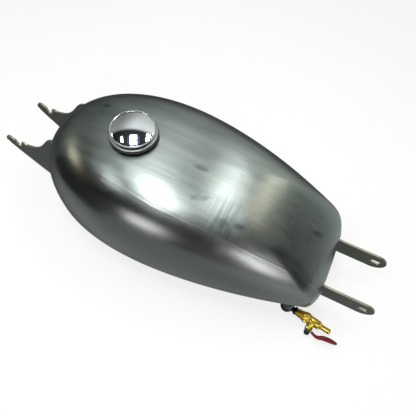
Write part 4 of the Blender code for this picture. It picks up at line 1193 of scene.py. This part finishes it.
# ---------------- lights
WHITE = (1.0, 1.0, 1.0)
SOFT_WHITE = (1.0, 0.97, 0.98)
WARM = (1.0, 0.93, 0.78)
LAMP_WARM = (1.0, 0.88, 0.66)
PANE_WARM = (1.0, 0.86, 0.66)
PANE_BLUE = (0.2, 0.42, 1.0)
LIGHT_DISTANCE = 1.6
PANE_DISTANCE = 0.62
PANE_TURN = 29.0
CENTRE = (0.0, 0.0, 0.0)
CAP_TOP = (CAP_X * MM, 0.0, DOME_TOP * MM)


def window(name, across, up, width, height, radiance, colour, turn,
           distance=LIGHT_DISTANCE, seen_from=CENTRE):
    """A rectangular soft light: its centre and size in degrees as seen from a point.

    The centre is measured from the zenith, across to +X and up to +Y; turn is its width's heading.
    """
    theta = math.radians(math.hypot(across, up))
    heading = math.atan2(up, across)
    way = Vector((math.sin(theta) * math.cos(heading), math.sin(theta) * math.sin(heading), math.cos(theta)))
    light = bpy.data.lights.new(name, "AREA")
    light.shape = "RECTANGLE"
    light.size = 2.0 * distance * math.tan(math.radians(0.5 * width))
    light.size_y = 2.0 * distance * math.tan(math.radians(0.5 * height))
    light.color = colour
    light.energy = radiance * math.pi * light.size * light.size_y
    made = bpy.data.objects.new(name, light)
    pieces.objects.link(made)
    wide = Vector((math.cos(math.radians(turn)), math.sin(math.radians(turn)), 0.0))
    wide = (wide - way * wide.dot(way)).normalized()
    light_axes = Matrix((wide, way.cross(wide), way)).transposed().to_4x4()
    made.matrix_world = Matrix.Translation(Vector(seen_from) + way * distance) @ light_axes
    made.visible_camera = False
    return made


def pane(name, across, up, width, height, radiance, colour=WHITE, distance=PANE_DISTANCE):
    """A near window, placed as the cap's top sees it."""
    return window(name, across, up, width, height, radiance, colour, PANE_TURN, distance, CAP_TOP)


pane("window_middle", -1.5, -4.0, 16.0, 25.0, 21.0)
pane("blue_pane", -1.0, -5.0, 30.0, 22.0, 0.28, PANE_BLUE, 0.66)
pane("window_left", -28.0, -13.5, 4.0, 14.0, 30.0)
pane("window_right", 24.0, 21.0, 8.5, 21.0, 27.0)
pane("far_pane", 43.0, 30.0, 7.0, 9.0, 9.0, PANE_WARM)
window("window_side", -13.0, -67.0, 17.0, 20.0, 8.5, SOFT_WHITE, 0.0)
window("window_side_rear", 45.0, -46.0, 12.0, 28.0, 9.5, SOFT_WHITE, 45.0)
window("lamp_front", -62.0, -9.0, 13.0, 12.0, 5.5, LAMP_WARM, 90.0)
window("lamp_rear", 30.0, 43.0, 10.0, 12.0, 5.0, WARM, PANE_TURN)

# This pane lights the tank's skin only, and doesn't show in the cap.
skin_pane = pane("skin_pane", -12.0, 13.0, 18.0, 20.0, 7.0)
skin_only = bpy.data.collections.new("skin_light")
skin_only.objects.link(skin)
skin_pane.light_linking.receiver_collection = skin_only

# ---------------- world: a dark room, pale past the tank's right
world = bpy.data.worlds.new("studio")
bpy.context.scene.world = world
world.use_nodes = True
world_nodes = world.node_tree.nodes
world_links = world.node_tree.links
AWAY = (-0.35, 0.9, -0.35)
ROOM_COLOUR = (0.94, 1.0, 0.99, 1.0)


def ramp(value, low, high, to_low, to_high):
    node = world_nodes.new("ShaderNodeMapRange")
    node.interpolation_type = "SMOOTHSTEP"
    node.clamp = True
    for key, number in zip(RANGE_SOCKETS, (low, high, to_low, to_high)):
        node.inputs[key].default_value = number
    world_links.new(value, node.inputs["Value"])
    return node.outputs["Result"]


def combined(operation, a, b):
    node = world_nodes.new("ShaderNodeMath")
    node.operation = operation
    world_links.new(a, node.inputs[0])
    world_links.new(b, node.inputs[1])
    return node.outputs[0]


direction = world_nodes.new("ShaderNodeTexCoord").outputs["Generated"]
split = world_nodes.new("ShaderNodeSeparateXYZ")
world_links.new(direction, split.inputs["Vector"])
toward = world_nodes.new("ShaderNodeVectorMath")
toward.operation = "DOT_PRODUCT"
toward.inputs[1].default_value = AWAY
world_links.new(direction, toward.inputs[0])
behind = ramp(toward.outputs["Value"], 0.04, 0.21, 0.055, 1.12)
fading = ramp(toward.outputs["Value"], 0.3, 0.95, 1.0, 0.62)
ahead_dim = ramp(split.outputs["X"], -0.8, -0.3, 0.35, 1.0)
upper = combined("MULTIPLY", combined("MULTIPLY", behind, ahead_dim), fading)
low_side = ramp(split.outputs["Y"], -0.55, 0.1, 0.74, 0.12)
lower = combined("ADD", low_side, ramp(split.outputs["X"], 0.2, 0.75, 0.0, 1.15))
blend = world_nodes.new("ShaderNodeMix")
world_links.new(ramp(split.outputs["Z"], -0.08, 0.14, 1.0, 0.0), blend.inputs["Factor"])
world_links.new(upper, blend.inputs["A"])
world_links.new(lower, blend.inputs["B"])
back = world_nodes["Background"]
world_links.new(blend.outputs["Result"], back.inputs["Strength"])
back.inputs["Color"].default_value = ROOM_COLOUR

# ---------------- camera: metres and radians
TARGET = Vector((0.04510, -0.04161, 0.04955))
AZIMUTH = 0.338373
ELEVATION = 1.096187
ROLL = -0.120684
DISTANCE = 0.424563
SENSOR = 36.0
FOCAL_WIDTHS = 0.848389  # focal length in picture widths

level = Vector((-math.sin(AZIMUTH), math.cos(AZIMUTH), 0.0))
side = Vector((math.cos(AZIMUTH), math.sin(AZIMUTH), 0.0))
ahead = level * math.cos(ELEVATION) - Vector((0, 0, math.sin(ELEVATION)))
down = -(level * math.sin(ELEVATION) + Vector((0, 0, math.cos(ELEVATION))))
right = side * math.cos(ROLL) + down * math.sin(ROLL)
below = down * math.cos(ROLL) - side * math.sin(ROLL)
camera = bpy.data.cameras.new("camera")
camera.sensor_width = SENSOR
camera.lens = FOCAL_WIDTHS * SENSOR
camera.clip_start = 0.01
camera.clip_end = 50.0
camera_object = bpy.data.objects.new("camera", camera)
bpy.context.scene.collection.objects.link(camera_object)
camera_axes = Matrix((right, -below, -ahead)).transposed().to_4x4()
camera_object.matrix_world = Matrix.Translation(TARGET - ahead * DISTANCE) @ camera_axes
bpy.context.scene.camera = camera_object
bpy.context.scene.view_settings.view_transform = "Standard"
